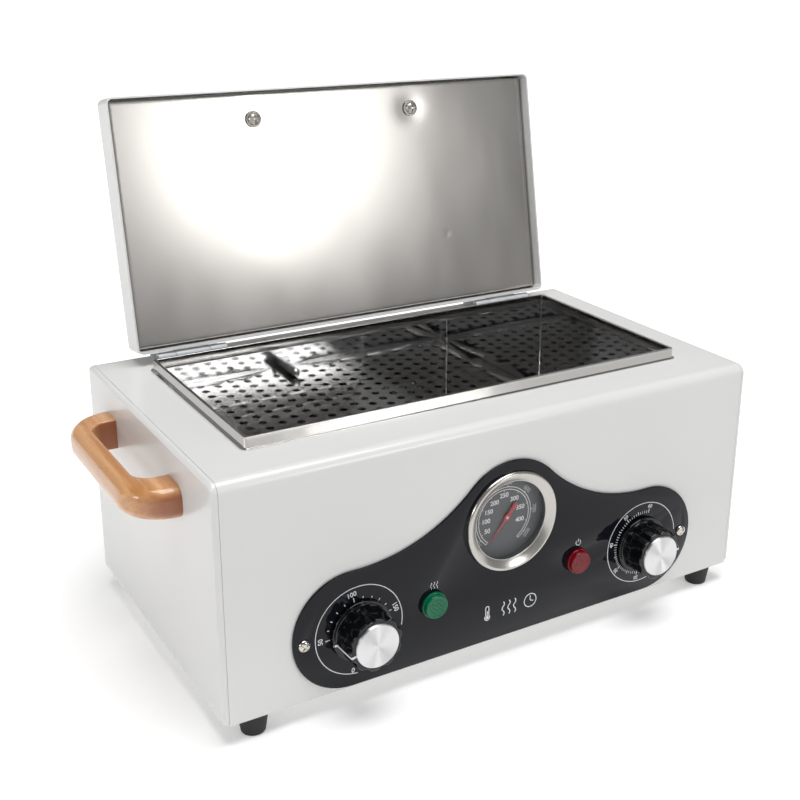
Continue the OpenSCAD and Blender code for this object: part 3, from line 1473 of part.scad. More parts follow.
// The inner wires, bent square from terminal to terminal
module wiring() {
    back = terminal_y - terminal_d / 2;
    thermostat_tip = y_front + sheet_t + thermostat_d + blade_len;
    timer_tip = y_front + sheet_t + timer_d + blade_len;
    lamp_tip = fascia_y + lamp_len + blade_len;
    paths = [
        supply_wire(-1, back - wire_turn, -knob_x - blade_pitch / 2, thermostat_tip, control_z),
        supply_wire(1, back - wire_turn, knob_x + blade_pitch / 2, timer_tip, control_z),
        supply_wire(0, back - lamp_wire_turn, lamp_x - lamp_left + lamp_r / 2, lamp_tip, glow_z),
        heater_wire(-1, -knob_x + blade_pitch / 2, thermostat_tip),
        heater_wire(1, knob_x - blade_pitch / 2, timer_tip)];
    color("#7a2b2b") for (path = paths) bent_tube(path, wire_r, wire_bend);
}

wrap_shell();
side_panel_left();
side_panel_right();
rear_panel();
rear_panel_screws();
base_plate();
rubber_feet();
foot_screws();
foot_nuts();
chamber_liner();
chamber_rim();
chamber_floor();
heater_element();
heater_bushes();
heater_clips();
insulation_jacket();
insulation_pad();
thermostat_body();
thermostat_capillary();
timer_body();
neck_nuts();
fascia_plate();
fascia_screws();
gauge_case();
gauge_dial();
gauge_bezel();
gauge_glass();
gauge_stem();
gauge_stem_nut();
gauge_needle();
lamp_green_lens();
lamp_red_lens();
lamp_bodies();
lamp_nuts();
thermostat_knob();
thermostat_knob_cap();
thermostat_shaft();
timer_knob();
timer_knob_cap();
timer_shaft();
handle_left();
handle_right();
handle_screws();
hinge_body_leaves();
hinge_pins();
hinge_body_rivets();
hinge_lid_leaves();
hinge_lid_rivets();
lid_shell();
lid_liner();
lid_insulation();
lid_handle();
lid_screws();
lid_washers();
cord_gland();
gland_nut();
terminal_block();
earth_stud();
wiring();
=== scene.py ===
"""Dresses a bench-top dry heat sterilizer, whose lid stands open over a polished chamber."""

from __future__ import annotations

import json
import logging
import math
from dataclasses import dataclass
from enum import Enum
from typing import Iterable, Sequence

import bmesh
import bpy
from bmesh.types import BMEdge, BMesh, BMVert
from bpy.types import ID, Material, Mesh, Node, NodeSocket, NodeTree, Object
from mathutils import Matrix, Vector

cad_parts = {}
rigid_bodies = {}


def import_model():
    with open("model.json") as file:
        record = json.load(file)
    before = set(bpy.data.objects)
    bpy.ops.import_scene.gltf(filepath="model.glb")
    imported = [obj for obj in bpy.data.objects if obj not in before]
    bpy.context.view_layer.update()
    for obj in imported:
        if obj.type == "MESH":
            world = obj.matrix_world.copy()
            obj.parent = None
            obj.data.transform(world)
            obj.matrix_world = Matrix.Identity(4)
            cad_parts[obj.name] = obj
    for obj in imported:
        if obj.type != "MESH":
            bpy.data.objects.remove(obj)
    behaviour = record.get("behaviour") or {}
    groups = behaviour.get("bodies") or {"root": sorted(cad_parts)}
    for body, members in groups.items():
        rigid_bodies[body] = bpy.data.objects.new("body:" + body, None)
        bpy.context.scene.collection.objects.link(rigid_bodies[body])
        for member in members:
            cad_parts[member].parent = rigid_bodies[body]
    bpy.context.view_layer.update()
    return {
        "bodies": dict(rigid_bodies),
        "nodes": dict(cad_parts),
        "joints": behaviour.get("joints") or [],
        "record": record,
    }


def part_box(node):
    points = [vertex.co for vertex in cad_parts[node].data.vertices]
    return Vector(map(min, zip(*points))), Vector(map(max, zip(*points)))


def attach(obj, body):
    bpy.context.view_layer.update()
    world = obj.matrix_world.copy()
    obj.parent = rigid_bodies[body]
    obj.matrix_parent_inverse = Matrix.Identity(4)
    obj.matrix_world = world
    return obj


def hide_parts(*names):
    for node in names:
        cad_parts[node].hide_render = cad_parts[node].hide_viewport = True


LOG = logging.getLogger("sterilizer")
MM = 0.001
WELD = 0.002 * MM
INK = 0.04 * MM
FULL_TURN = 2 * math.pi
# Faces that lie closer to one plane than this are one face.
FLAT = math.radians(0.5)
# The colour sockets of a Mix node.
MIX_A, MIX_B, MIX_OUT = 6, 7, 2
Span = tuple[float, float]
Place = tuple[float, float, float]
Paint = NodeSocket | tuple[float, float, float, float]


class Axis(Enum):
    """A direction of the shared frame."""

    X = Vector((1, 0, 0))
    Y = Vector((0, 1, 0))
    Z = Vector((0, 0, 1))


class Body(Enum):
    """The bodies that pieces ride on."""

    CASING = "casing"
    LID = "lid"
    THERMOSTAT = "thermostat_control"
    TIMER = "timer_control"
    NEEDLE = "needle"


class Outline(Enum):
    """The outlines that a soft-box can have."""

    SQUARE = "RECTANGLE"
    ROUND = "ELLIPSE"


def srgb(code: str) -> tuple[float, float, float, float]:
    """Turns an sRGB hex colour to linear values.

    Args:
        code: The colour as "#rrggbb".

    Returns:
        Linear red, green and blue, and an alpha of one.
    """
    parts = [int(code[i : i + 2], 16) / 255 for i in (1, 3, 5)]
    linear = [c / 12.92 if c <= 0.04045 else ((c + 0.055) / 1.055) ** 2.4 for c in parts]
    return (linear[0], linear[1], linear[2], 1.0)


def per_metre(size_mm: float) -> float:
    """Gives the texture scale at which a feature is about size_mm wide."""
    return 1 / (size_mm * MM)


def feed(tree: NodeTree, node: Node, inputs: dict) -> None:
    """Gives a node's inputs their constant values, or links them to output sockets.

    Args:
        tree: The node tree.
        node: The node.
        inputs: A value or an output socket for each named or numbered input.
    """
    for key, value in inputs.items():
        if isinstance(value, NodeSocket):
            tree.links.new(value, node.inputs[key])
        else:
            node.inputs[key].default_value = value


def add_node(tree: NodeTree, kind: str, inputs: dict | None = None, **settings: object) -> Node:
    """Adds one node with its settings, values and links.

    Args:
        tree: The node tree.
        kind: The node's type.
        inputs: A value or an output socket for each named or numbered input.
        **settings: The node's own properties.

    Returns:
        The new node.
    """
    node = tree.nodes.new(kind)
    for key, value in settings.items():
        setattr(node, key, value)
    feed(tree, node, inputs or {})
    return node


def spanned(tree: NodeTree, value: NodeSocket, before: Span, after: Span = (0.0, 1.0)) -> NodeSocket:
    """Maps a value from one range to another.

    Args:
        tree: The node tree.
        value: The value.
        before: The range that it comes from.
        after: The range that it is brought to.

    Returns:
        The mapped value.
    """
    ends = {"From Min": before[0], "From Max": before[1], "To Min": after[0], "To Max": after[1]}
    return add_node(tree, "ShaderNodeMapRange", {"Value": value, **ends}).outputs["Result"]


@dataclass(frozen=True)
class Dressing:
    """A material in the making: its node tree, its Principled shader and its coordinates."""

    tree: NodeTree
    shader: Node
    where: Node

    @property
    def place(self) -> NodeSocket:
        """The place on the piece, in its own coordinates."""
        return self.where.outputs["Object"]

    def put(self, **inputs: object) -> None:
        """Sets inputs of the shader, whose names are written with _ for a space."""
        feed(self.tree, self.shader, {key.replace("_", " "): value for key, value in inputs.items()})

    def noise(self, size_mm: float, detail: float) -> NodeSocket:
        """Adds noise with patches of about one size."""
        inputs = {"Vector": self.place, "Scale": per_metre(size_mm), "Detail": detail}
        return add_node(self.tree, "ShaderNodeTexNoise", inputs).outputs["Fac"]

    def streaks(
        self, axis: Axis, size_mm: float, long_mm: float, detail: float = 2.0, bent: float = 0.0
    ) -> NodeSocket:
        """Adds noise that is drawn out along an axis.

        Args:
            axis: The axis.
            size_mm: Width of a streak.
            long_mm: Length of a streak.
            detail: The noise's detail.
            bent: How much the streaks are distorted.

        Returns:
            The noise.
        """
        fine = per_metre(size_mm)
        scale = Vector((1, 1, 1)) * fine - axis.value * (fine - per_metre(long_mm))
        drawn = add_node(self.tree, "ShaderNodeMapping", {"Vector": self.place, "Scale": scale})
        inputs = {"Vector": drawn.outputs["Vector"], "Scale": 1.0, "Detail": detail, "Distortion": bent}
        return add_node(self.tree, "ShaderNodeTexNoise", inputs).outputs["Fac"]

    def blend(self, factor: NodeSocket, first: Paint, second: Paint) -> NodeSocket:
        """Mixes two colours.

        Args:
            factor: How much of the second is taken.
            first: The first, as a colour or a socket.
            second: The second.

        Returns:
            The mixed colour.
        """
        inputs = {"Factor": factor, MIX_A: first, MIX_B: second}
        return add_node(self.tree, "ShaderNodeMix", inputs, data_type="RGBA").outputs[MIX_OUT]

    def relief(self, height: NodeSocket, depth_mm: float, **inputs: object) -> NodeSocket:
        """Adds a relief of a height, with further inputs of the bump node by name."""
        bump = {"Height": height, "Distance": depth_mm * MM, **inputs}
        return add_node(self.tree, "ShaderNodeBump", bump).outputs["Normal"]


@dataclass(frozen=True)
class Finish:
    """A surface: the name of its material and its shader's constant values."""

    name: str
    colour: str
    roughness: float
    metallic: float = 0.0
    patch_mm: float = 6.0
    spread: float = 0.06

    def material(self) -> Material:
        """Gives the finish's material, made at the first call.

        Returns:
            The material.
        """
        known = bpy.data.materials.get(self.name)
        if known is not None:
            return known
        made = bpy.data.materials.new(self.name)
        made.use_nodes = True
        tree = made.node_tree
        on = Dressing(tree, tree.nodes["Principled BSDF"], add_node(tree, "ShaderNodeTexCoord"))
        on.put(Base_Color=srgb(self.colour), Roughness=self.roughness, Metallic=self.metallic)
        self.dress(on)
        return made

    def dress(self, on: Dressing) -> None:
        """Adds the pattern that the finish shows. The plain finish has a faint mottle."""
        self.mottle(on)

    def mottle(self, on: Dressing) -> NodeSocket:
        """Lets the roughness wander a little from patch to patch, as on every real surface.

        Args:
            on: The material in the making.

        Returns:
            The noise that drives it.
        """
        noise = on.noise(self.patch_mm, 3.0)
        ends = (max(0.01, self.roughness - self.spread), self.roughness + self.spread)
        on.put(Roughness=spanned(on.tree, noise, (0.0, 1.0), ends))
        return noise


@dataclass(frozen=True)
class BakedEnamel(Finish):
    """White stoving enamel, sprayed and baked on sheet steel: glossy, with a faint orange peel."""

    patch_mm: float = 35.0
    spread: float = 0.03
    shade: str = "#dddfe0"
    peel_mm: float = 2.2
    peel_depth_mm: float = 0.004
    tone_mm: float = 120.0

    def dress(self, on: Dressing) -> None:
        """Adds the peel, and a slow drift of the white."""
        self.mottle(on)
        on.put(Base_Color=on.blend(on.noise(self.tone_mm, 1.0), srgb(self.colour), srgb(self.shade)))
        on.put(Normal=on.relief(on.noise(self.peel_mm, 1.0), self.peel_depth_mm))


@dataclass(frozen=True)
class RolledSteel(Finish):
    """Rolled stainless sheet: long fine lines along the rolling direction, and a slow waviness."""

    grain: Axis = Axis.X
    line_mm: float = 0.35
    line_long_mm: float = 22.0
    line_depth_mm: float = 0.0006
    smear_mm: float = 16.0
    smear_long_mm: float = 130.0
    smear_range: Span = (0.3, 0.7)
    wave_mm: float = 38.0
    wave_depth_mm: float = 0.05
    spread: float = 0.05

    def dress(self, on: Dressing) -> None:
        """Adds smears to the roughness, then waves and rolling lines, drawn coarser than real.

        Args:
            on: The material in the making.
        """
        smears = on.streaks(self.grain, self.smear_mm, self.smear_long_mm)
        ends = (self.roughness - self.spread, self.roughness + self.spread)
        on.put(Roughness=spanned(on.tree, smears, self.smear_range, ends))
        wavy = on.relief(on.noise(self.wave_mm, 0.5), self.wave_depth_mm)
        lines = on.streaks(self.grain, self.line_mm, self.line_long_mm)
        on.put(Normal=on.relief(lines, self.line_depth_mm, Normal=wavy))


@dataclass(frozen=True)
class TurnedSteel(Finish):
    """Stainless ring, pressed and turned: fine circular marks about the dial's middle."""

    patch_mm: float = 12.0
    spread: float = 0.05
    centre: Place = (0.0, 0.0, 0.0)
    pitch_mm: float = 0.5
    depth_mm: float = 0.0015
    wander: float = 1.5

    def dress(self, on: Dressing) -> None:
        """Adds rings about a front-to-rear line, drawn coarser than real so that they show.

        Args:
            on: The material in the making.
        """
        self.mottle(on)
        shift = {"Vector": on.place, "Location": -Vector(self.centre)}
        centred = add_node(on.tree, "ShaderNodeMapping", shift).outputs["Vector"]
        marks = {"Vector": centred, "Scale": per_metre(self.pitch_mm) / FULL_TURN}
        marks.update({"Distortion": self.wander, "Detail": 2.0})
        rings = add_node(on.tree, "ShaderNodeTexWave", marks, wave_type="RINGS", rings_direction="Y")
        on.put(Normal=on.relief(rings.outputs["Fac"], self.depth_mm))


@dataclass(frozen=True)
class SpunAluminium(Finish):
    """Spun and clear-coated aluminium disc: marks round its middle spread the light into a cone."""

    pitch_mm: float = 0.35
    depth_mm: float = 0.0015
    stretch: float = 0.92
    quarter_turn: float = 0.25

    def dress(self, on: Dressing) -> None:
        """Adds the spun marks along the piece's own map, whose V runs outwards in metres.

        Args:
            on: The material in the making.
        """
        along = add_node(on.tree, "ShaderNodeSeparateXYZ", {"Vector": on.where.outputs["UV"]}).outputs["Y"]
        marks = {"W": along, "Scale": per_metre(self.pitch_mm), "Detail": 2.0}
        rings = add_node(on.tree, "ShaderNodeTexNoise", marks, noise_dimensions="1D")
        turn = add_node(on.tree, "ShaderNodeTangent", direction_type="UV_MAP", uv_map="spin")
        on.put(Normal=on.relief(rings.outputs["Fac"], self.depth_mm), Tangent=turn.outputs["Tangent"])
        on.put(Anisotropic=self.stretch, Anisotropic_Rotation=self.quarter_turn)


@dataclass(frozen=True)
class VarnishedBeech(Finish):
    """Steamed beech, turned and sanded, under clear gloss varnish: warm, with short dark flecks."""

    grain: Axis = Axis.Y
    dark: str = "#bd8048"
    fleck: str = "#9a5e2e"
    end: str = "#9c5a34"
    band_mm: float = 5.0
    band_long_mm: float = 90.0
    band_bent: float = 0.6
    band_range: Span = (0.35, 0.68)
    fleck_mm: float = 0.55
    fleck_long_mm: float = 5.0
    fleck_range: Span = (0.6, 0.72)
    fleck_mix: Span = (0.0, 0.55)
    end_range: Span = (0.6, 0.95)
    pore_mm: float = 0.02
    pore_strength: float = 0.4
    coat: float = 0.8
    coat_roughness: float = 0.08

    def dress(self, on: Dressing) -> None:
        """Adds bands and flecks along the grain, drawn a little coarse, and darker end grain.

        Args:
            on: The material in the making.
        """
        bands = on.streaks(self.grain, self.band_mm, self.band_long_mm, 4.0, self.band_bent)
        wood = on.blend(spanned(on.tree, bands, self.band_range), srgb(self.colour), srgb(self.dark))
        flecks = on.streaks(self.grain, self.fleck_mm, self.fleck_long_mm)
        wood = on.blend(spanned(on.tree, flecks, self.fleck_range, self.fleck_mix), wood, srgb(self.fleck))
        normal = {0: on.where.outputs["Normal"], 1: self.grain.value}
        along = add_node(on.tree, "ShaderNodeVectorMath", normal, operation="DOT_PRODUCT").outputs["Value"]
        facing = add_node(on.tree, "ShaderNodeMath", {0: along}, operation="ABSOLUTE").outputs["Value"]
        wood = on.blend(spanned(on.tree, facing, self.end_range), wood, srgb(self.end))
        on.put(Base_Color=wood, Normal=on.relief(flecks, self.pore_mm, Strength=self.pore_strength))
        on.put(Coat_Weight=self.coat, Coat_Roughness=self.coat_roughness)


@dataclass(frozen=True)
class Grained(Finish):
    """A surface whose patches are felt as well as seen."""

    depth_mm: float = 0.003

    def dress(self, on: Dressing) -> None:
        """Adds the mottle and its relief."""
        self.grained(on)

    def grained(self, on: Dressing) -> NodeSocket:
        """Adds the mottle and its relief, and gives the noise that drives both."""
        noise = self.mottle(on)
        on.put(Normal=on.relief(noise, self.depth_mm))
        return noise


@dataclass(frozen=True)
class MottledMetal(Grained):
    """Plated, drawn or turned metal: bright, with a fine crystalline mottle."""

    metallic: float = 1.0
    patch_mm: float = 1.4


@dataclass(frozen=True)
class MouldedPlastic(Grained):
    """Injection-moulded plastic or a moulded overlay: smooth, with faint flow marks."""

    patch_mm: float = 9.0
    spread: float = 0.03
    depth_mm: float = 0.006
    ior: float = 1.5

    def dress(self, on: Dressing) -> None:
        """Adds the flow marks."""
        self.grained(on)
        on.put(IOR=self.ior)


@dataclass(frozen=True)
class LampPlastic(MouldedPlastic):
    """Tinted clear polycarbonate: dark and deep, with light in its edges."""

    ior: float = 1.42
    clear: float = 0.3

    def dress(self, on: Dressing) -> None:
        """Adds the flow marks and lets light through."""
        super().dress(on)
        on.put(Transmission_Weight=self.clear)


@dataclass(frozen=True)
class ClearGlass(Finish):
    """Float glass: clear, with a faint reflection of the room."""

    patch_mm: float = 15.0
    spread: float = 0.01
    veil: float = 0.1
    ior: float = 1.9

    def dress(self, on: Dressing) -> None:
        """Leaves only a thin veil, which carries the reflection of both faces."""
        self.mottle(on)
        on.put(Alpha=self.veil, IOR=self.ior)


@dataclass(frozen=True)
class MouldedRubber(Grained):
    """Compression-moulded rubber: matt, with a fine grain."""

    patch_mm: float = 0.8
    spread: float = 0.08
    depth_mm: float = 0.05


@dataclass(frozen=True)
class Blanket(Grained):
    """Glass wool or braided sleeving: matt fibres in two shades."""

    patch_mm: float = 1.5
    spread: float = 0.04
    depth_mm: float = 0.6
    shade: str = "#a89a63"

    def dress(self, on: Dressing) -> None:
        """Adds the fibres and their second shade."""
        on.put(Base_Color=on.blend(self.grained(on), srgb(self.colour), srgb(self.shade)))


# Stoving enamel is a hard bright white with soft-edged reflections.
ENAMEL = BakedEnamel("stoving_enamel_sprayed", "#e3e3e2", 0.22, shade="#dadad8")
# The hinges carry the body's enamel, painted greyer as painted shade for where they sit between the open lid
# and the casing.
HINGE_ENAMEL = BakedEnamel("stoving_enamel_shade_painted", "#cdd1d4", 0.3, shade="#c3c8cc")
# Bright-annealed stainless mirrors the hole pattern, the lid and the dark room around the chamber.
MIRROR_STEEL = RolledSteel(
    "stainless_bright_annealed", "#d8d8d8", 0.045, 1.0, spread=0.02, wave_depth_mm=0.07, line_depth_mm=0.0003
)
# The tray is the same sheet, dulled by use, so it takes up the lid's glow.
TRAY_STEEL = RolledSteel(
    "stainless_worn", "#dcdcdb", 0.16, 1.0, spread=0.03, wave_depth_mm=0.05, line_depth_mm=0.0006
)
# The rim is the same sheet, rolled over by hand, so its reflections break up along it.
RIM_STEEL = RolledSteel("stainless_hemmed", "#d8d6d3", 0.12, 1.0, wave_mm=14.0, wave_depth_mm=0.12)
# The pan is a duller sheet, which blurs what it mirrors into one soft glow.
PAN_STEEL = RolledSteel(
    "stainless_satin_rolled",
    "#b4b1ad",
    0.22,
    1.0,
    grain=Axis.Z,
    line_depth_mm=0.0006,
    smear_mm=30.0,
    wave_mm=90.0,
    wave_depth_mm=0.25,
    spread=0.025,
)
# The handles are varnished beech, light on top and darker at the cut ends. Two grains, one look.
BEECH_SIDE = VarnishedBeech("beech_varnished_along_y", "#dba572", 0.42)
BEECH_LID = VarnishedBeech("beech_varnished_along_x", "#dba572", 0.42, grain=Axis.X)
# Nickel plate gives warm bright points on screws and hinges.
NICKEL = MottledMetal("nickel_plate_bright", "#c9c4bd", 0.1, depth_mm=0.001)
# The pan's washers and screws are dull nickel, which takes up the pan's glow.
NICKEL_DULL = MottledMetal("nickel_plate_dull", "#bdb9b3", 0.36, depth_mm=0.001)
# Zinc plate is duller than nickel, and bluish.
ZINC = MottledMetal("zinc_plate", "#a5a8ab", 0.4)
# The needle is red lacquer on brass.
NEEDLE_RED = Finish("red_lacquer_sprayed", "#d8505a", 0.4)
# Its rivet is lacquered cream.
RIVET_CREAM = Finish("cream_lacquer_sprayed", "#f1e7cf", 0.4)
# White screen ink lies flat and slightly soft.
INK_WHITE = Finish("screen_ink_white", "#dcdde0", 0.5)
# The dial's ink is painted brighter than the fascia's, as painted light that makes up for the shade of the
# glass and the bezel's lip, so that it stays white behind the glass.
INK_DIAL = Finish("screen_ink_white_painted_bright", "#ffffff", 0.5)
# The outer scale is printed in grey.
INK_GREY = Finish("screen_ink_grey", "#c6c8ca", 0.5)
# The dial is a matt dark grey lacquer under its glass.
DIAL_GREY = Finish("dial_lacquer_matt", "#6f7072", 0.6)
# The fascia is an aluminium plate under a glossy charcoal overlay, which mirrors the knobs.
FASCIA_BLACK = MouldedPlastic(
    "fascia_overlay_gloss", "#111218", 0.06, patch_mm=40.0, depth_mm=0.001, spread=0.01, ior=1.34
)
# Phenolic knobs are deep black with sharp highlights.
KNOB_BLACK = MouldedPlastic("phenolic_moulded", "#08090b", 0.12, patch_mm=30.0, depth_mm=0.0005, spread=0.01)
# Spun aluminium caps flare in two cones of light.
CAP_ALUMINIUM = SpunAluminium("aluminium_spun", "#e2e2e3", 0.42, 1.0)
# The lenses are unlit, so they are dark in the middle and glow at their edges.
LENS_GREEN = LampPlastic("polycarbonate_green", "#037a52", 0.1)
LENS_RED = LampPlastic("polycarbonate_red", "#860a18", 0.1)
# Rubber feet are moulded, charcoal black.
RUBBER = MouldedRubber("rubber_moulded", "#1b1b1e", 0.65)
# The dial's glass shows as one faint sheen.
GLASS = ClearGlass("float_glass", "#3a3f42", 0.02)
# A heating tube turns brown and blue after its first runs.
HEATED_STEEL = MottledMetal("steel_heat_tinted", "#4c433c", 0.45, patch_mm=8.0)
# Steatite bushes are chalky cream, with no gloss.
CERAMIC = MouldedPlastic("steatite_fired", "#e6dfcf", 0.4)
# Glass wool is matt and straw yellow.
WOOL = Blanket("glass_wool_felted", "#cdbf86", 0.9)
# The capillary is drawn copper, reddish and bright.
COPPER = MottledMetal("copper_drawn", "#b87350", 0.3)
# The earth stud is turned brass, yellow and bright.
BRASS = MottledMetal("brass_turned", "#c6a052", 0.25)
# The leads run in braided glass sleeving, impregnated dark red.
SLEEVE = Blanket("glass_sleeving_braided", "#7c2a22", 0.6, shade="#5a1c18", depth_mm=0.1)


def soften(bm: BMesh, width_mm: float, segments: int = 2, sharper_than: float = 30.0) -> BMesh:
    """Rounds every edge that is sharper than an angle.

    Args:
        bm: The mesh to round.
        width_mm: Width of the rounding.
        segments: Facets across the rounding.
        sharper_than: Smallest angle between two faces, in degrees, that is rounded.

    Returns:
        The same mesh.
    """
    limit = math.radians(sharper_than)
    edges = [e for e in bm.edges if len(e.link_faces) == 2 and e.calc_face_angle(0) > limit]
    bmesh.ops.bevel(
        bm,
        geom=edges,
        offset=width_mm * MM,
        offset_type="OFFSET",
        affect="EDGES",
        segments=segments,
        profile=0.5,
        material=-1,
        clamp_overlap=True,
    )
    return bm


def joined(parts: Iterable[BMesh]) -> BMesh:
    """Puts several meshes in one.

    Args:
        parts: The meshes, which are freed.

    Returns:
        One new mesh.
    """
    whole = bmesh.new()
    holder = bpy.data.meshes.new("holder")
    for part in parts:
        part.to_mesh(holder)
        part.free()
        whole.from_mesh(holder)
    bpy.data.meshes.remove(holder)
    return whole


def only(geometry: Iterable[object], kind: type) -> list:
    """Picks the vertices, or the edges, of what an operator made."""
    return [part for part in geometry if isinstance(part, kind)]


def placed(name: str, data: ID) -> Object:
    """Makes an object of a mesh, a curve, a light or a camera and links it to the scene."""
    made = bpy.data.objects.new(name, data)
    bpy.context.scene.collection.objects.link(made)
    return made


def meshed(name: str, bm: BMesh) -> Mesh:
    """Makes a mesh of a worked one, which is freed.

    Args:
        name: The mesh's name.
        bm: The worked mesh.

    Returns:
        The new mesh.
    """
    mesh = bpy.data.meshes.new(name)
    bm.to_mesh(mesh)
    bm.free()
    return mesh


def moved(bm: BMesh, matrix: Matrix) -> BMesh:
    """Moves a whole mesh by a matrix and gives it back."""
    bmesh.ops.transform(bm, matrix=matrix, verts=bm.verts)
    return bm


def turned(points: Sequence[Span], centre: Vector, steps: int = 96) -> BMesh:
    """Turns a profile about a front-to-rear line.

    Args:
        points: Radius and depth of each point, in millimetres, the depth being the frame's Y.
        centre: A point on the line.
        steps: Facets round the turn.

    Returns:
        The turned mesh, closed at the line.
    """
    bm = bmesh.new()
    verts = [bm.verts.new((centre.x + r * MM, y * MM, centre.z)) for r, y in points]
    edges = [bm.edges.new(pair) for pair in zip(verts, verts[1:])]
    bmesh.ops.spin(
        bm,
        geom=verts + edges,
        cent=centre,
        axis=Axis.Y.value,
        angle=FULL_TURN,
        steps=steps,
        use_merge=True,
    )
    bmesh.ops.remove_doubles(bm, verts=bm.verts, dist=WELD)
    bmesh.ops.recalc_face_normals(bm, faces=bm.faces)
    return bm


def fillet(centre: Span, radius: float, start: float, end: float, steps: int = 6) -> list[Span]:
    """Gives points along a round edge of a profile.

    Args:
        centre: Its middle, as radius and depth.
        radius: Its radius.
        start: First angle in degrees, from straight outwards, growing towards the rear.
        end: Last angle.
        steps: Facets along it.

    Returns:
        The points as radius and depth.
    """
    angles = [math.radians(start + (end - start) * i / steps) for i in range(steps + 1)]
    return [(centre[0] + radius * math.cos(a), centre[1] + radius * math.sin(a)) for a in angles]


def bell(away: Vector, radius_mm: float) -> float:
    """Gives a bell curve's height at a point away from its middle, where it is one."""
    return math.exp(-((away.length / (radius_mm * MM)) ** 2))


def beside(point: Vector, shift_mm: Span) -> Vector:
    """Gives a point to the right of another and above it."""
    return point + Vector((shift_mm[0] * MM, 0, shift_mm[1] * MM))


def clock(centre: Vector, degrees: float, radius_mm: float) -> Vector:
    """Gives the point at a clock angle and a radius on a face that looks to the front."""
    angle = math.radians(degrees)
    return centre + Vector((math.sin(angle), 0, math.cos(angle))) * radius_mm * MM


@dataclass
class Workshop:
    """What every sub-assembly needs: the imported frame, and how pieces are finished and kept."""

    frame: dict

    def mesh(self, node: str) -> Mesh:
        """Gives a CAD node's mesh."""
        return self.frame["nodes"][node].data

    def middle(self, node: str) -> Vector:
        """Gives the middle of a CAD node's box."""
        low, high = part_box(node)
        return (low + high) / 2

    def disc_mm(self, node: str) -> tuple[float, float, float]:
        """Gives a round CAD node's radius, front and back in millimetres."""
        low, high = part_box(node)
        return (high.x - low.x) / 2 / MM, low.y / MM, high.y / MM

    def keep(self, finish: Finish, *nodes: str) -> None:
        """Gives CAD nodes a finish and keeps their meshes.

        Args:
            finish: The finish.
            *nodes: The nodes' names.
        """
        for name in nodes:
            slots = self.mesh(name).materials
            slots.clear()
            slots.append(finish.material())
            LOG.info("node %s keeps its mesh in %s", name, finish.name)

    def welded(self, node: str) -> BMesh:
        """Copies a CAD node's triangles and welds them.

        Args:
            node: The node's name.

        Returns:
            The copy.
        """
        bm = bmesh.new()
        bm.from_mesh(self.mesh(node))
        bmesh.ops.remove_doubles(bm, verts=bm.verts, dist=WELD)
        return bm

    def piece(
        self,
        bm: BMesh,
        name: str,
        finish: Finish,
        body: Body,
        slot: str,
        replaces: Sequence[str] = (),
        smooth: float = 35.0,
    ) -> Object:
        """Makes a finished piece of a mesh and hangs it on its body.

        Args:
            bm: The mesh in the shared frame, which is freed.
            name: The piece's name.
            finish: Its finish.
            body: The body that it rides on.
            slot: The record's material slot that it belongs to; not used.
            replaces: CAD nodes that it stands for.
            smooth: Largest angle between faces that are shaded as one, in degrees.

        Returns:
            The new object.
        """
        mesh = meshed(name, bm)
        mesh.shade_smooth()
        mesh.set_sharp_from_angle(angle=math.radians(smooth))
        mesh.materials.append(finish.material())
        made = placed(name, mesh)
        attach(made, body.value)
        if replaces:
            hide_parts(*replaces)
        LOG.info("piece %s: %d faces on %s", name, len(mesh.polygons), body.value)
        return made

    def rounded(
        self, node: str, finish: Finish, body: Body, slot: str, width_mm: float, segments: int = 2
    ) -> None:
        """Replaces a CAD node with a copy whose sharp edges are rounded.

        Args:
            node: The node's name.
            finish: The copy's finish.
            body: The body that it rides on.
            slot: The record's material slot.
            width_mm: Width of the rounding.
            segments: Facets across it.
        """
        bm = self.welded(node)
        bmesh.ops.dissolve_limit(bm, angle_limit=FLAT, verts=bm.verts, edges=bm.edges)
        self.piece(soften(bm, width_mm, segments), node + "_cover", finish, body, slot, [node])


@dataclass
class LidFrame:
    """Where the lid turns, so that its pieces can be built closed and then opened."""

    pivot: Vector
    angle: float

    def open(self, bm: BMesh) -> BMesh:
        """Turns a mesh from the closed place to the open one."""
        turn = Matrix.Rotation(-self.angle, 4, "X")
        return moved(bm, Matrix.Translation(self.pivot) @ turn @ Matrix.Translation(-self.pivot))

    def closed_box(self, mesh: Mesh) -> tuple[Vector, Vector]:
        """Gives the box of a piece of the open lid as it lies when the lid is closed.

        Args:
            mesh: The piece at rest.

        Returns:
            The lowest and the highest corner.
        """
        turn = Matrix.Rotation(self.angle, 3, "X")
        points = [turn @ (v.co - self.pivot) + self.pivot for v in mesh.vertices]
        low = Vector([min(p[i] for p in points) for i in range(3)])
        high = Vector([max(p[i] for p in points) for i in range(3)])
        return low, high


@dataclass
class Casing:
    """The painted sheet casing and its feet."""

    shop: Workshop

    def build(self) -> None:
        """Dresses the sheets, the rear panel's screws and the feet."""
        sheets = ("wrap_shell", "side_panel_left", "side_panel_right", "rear_panel", "base_plate")
        self.shop.keep(ENAMEL, *sheets)
        self.shop.keep(RUBBER, "rubber_feet")
        self.shop.keep(ZINC, "rear_panel_screws", "foot_screws", "foot_nuts")


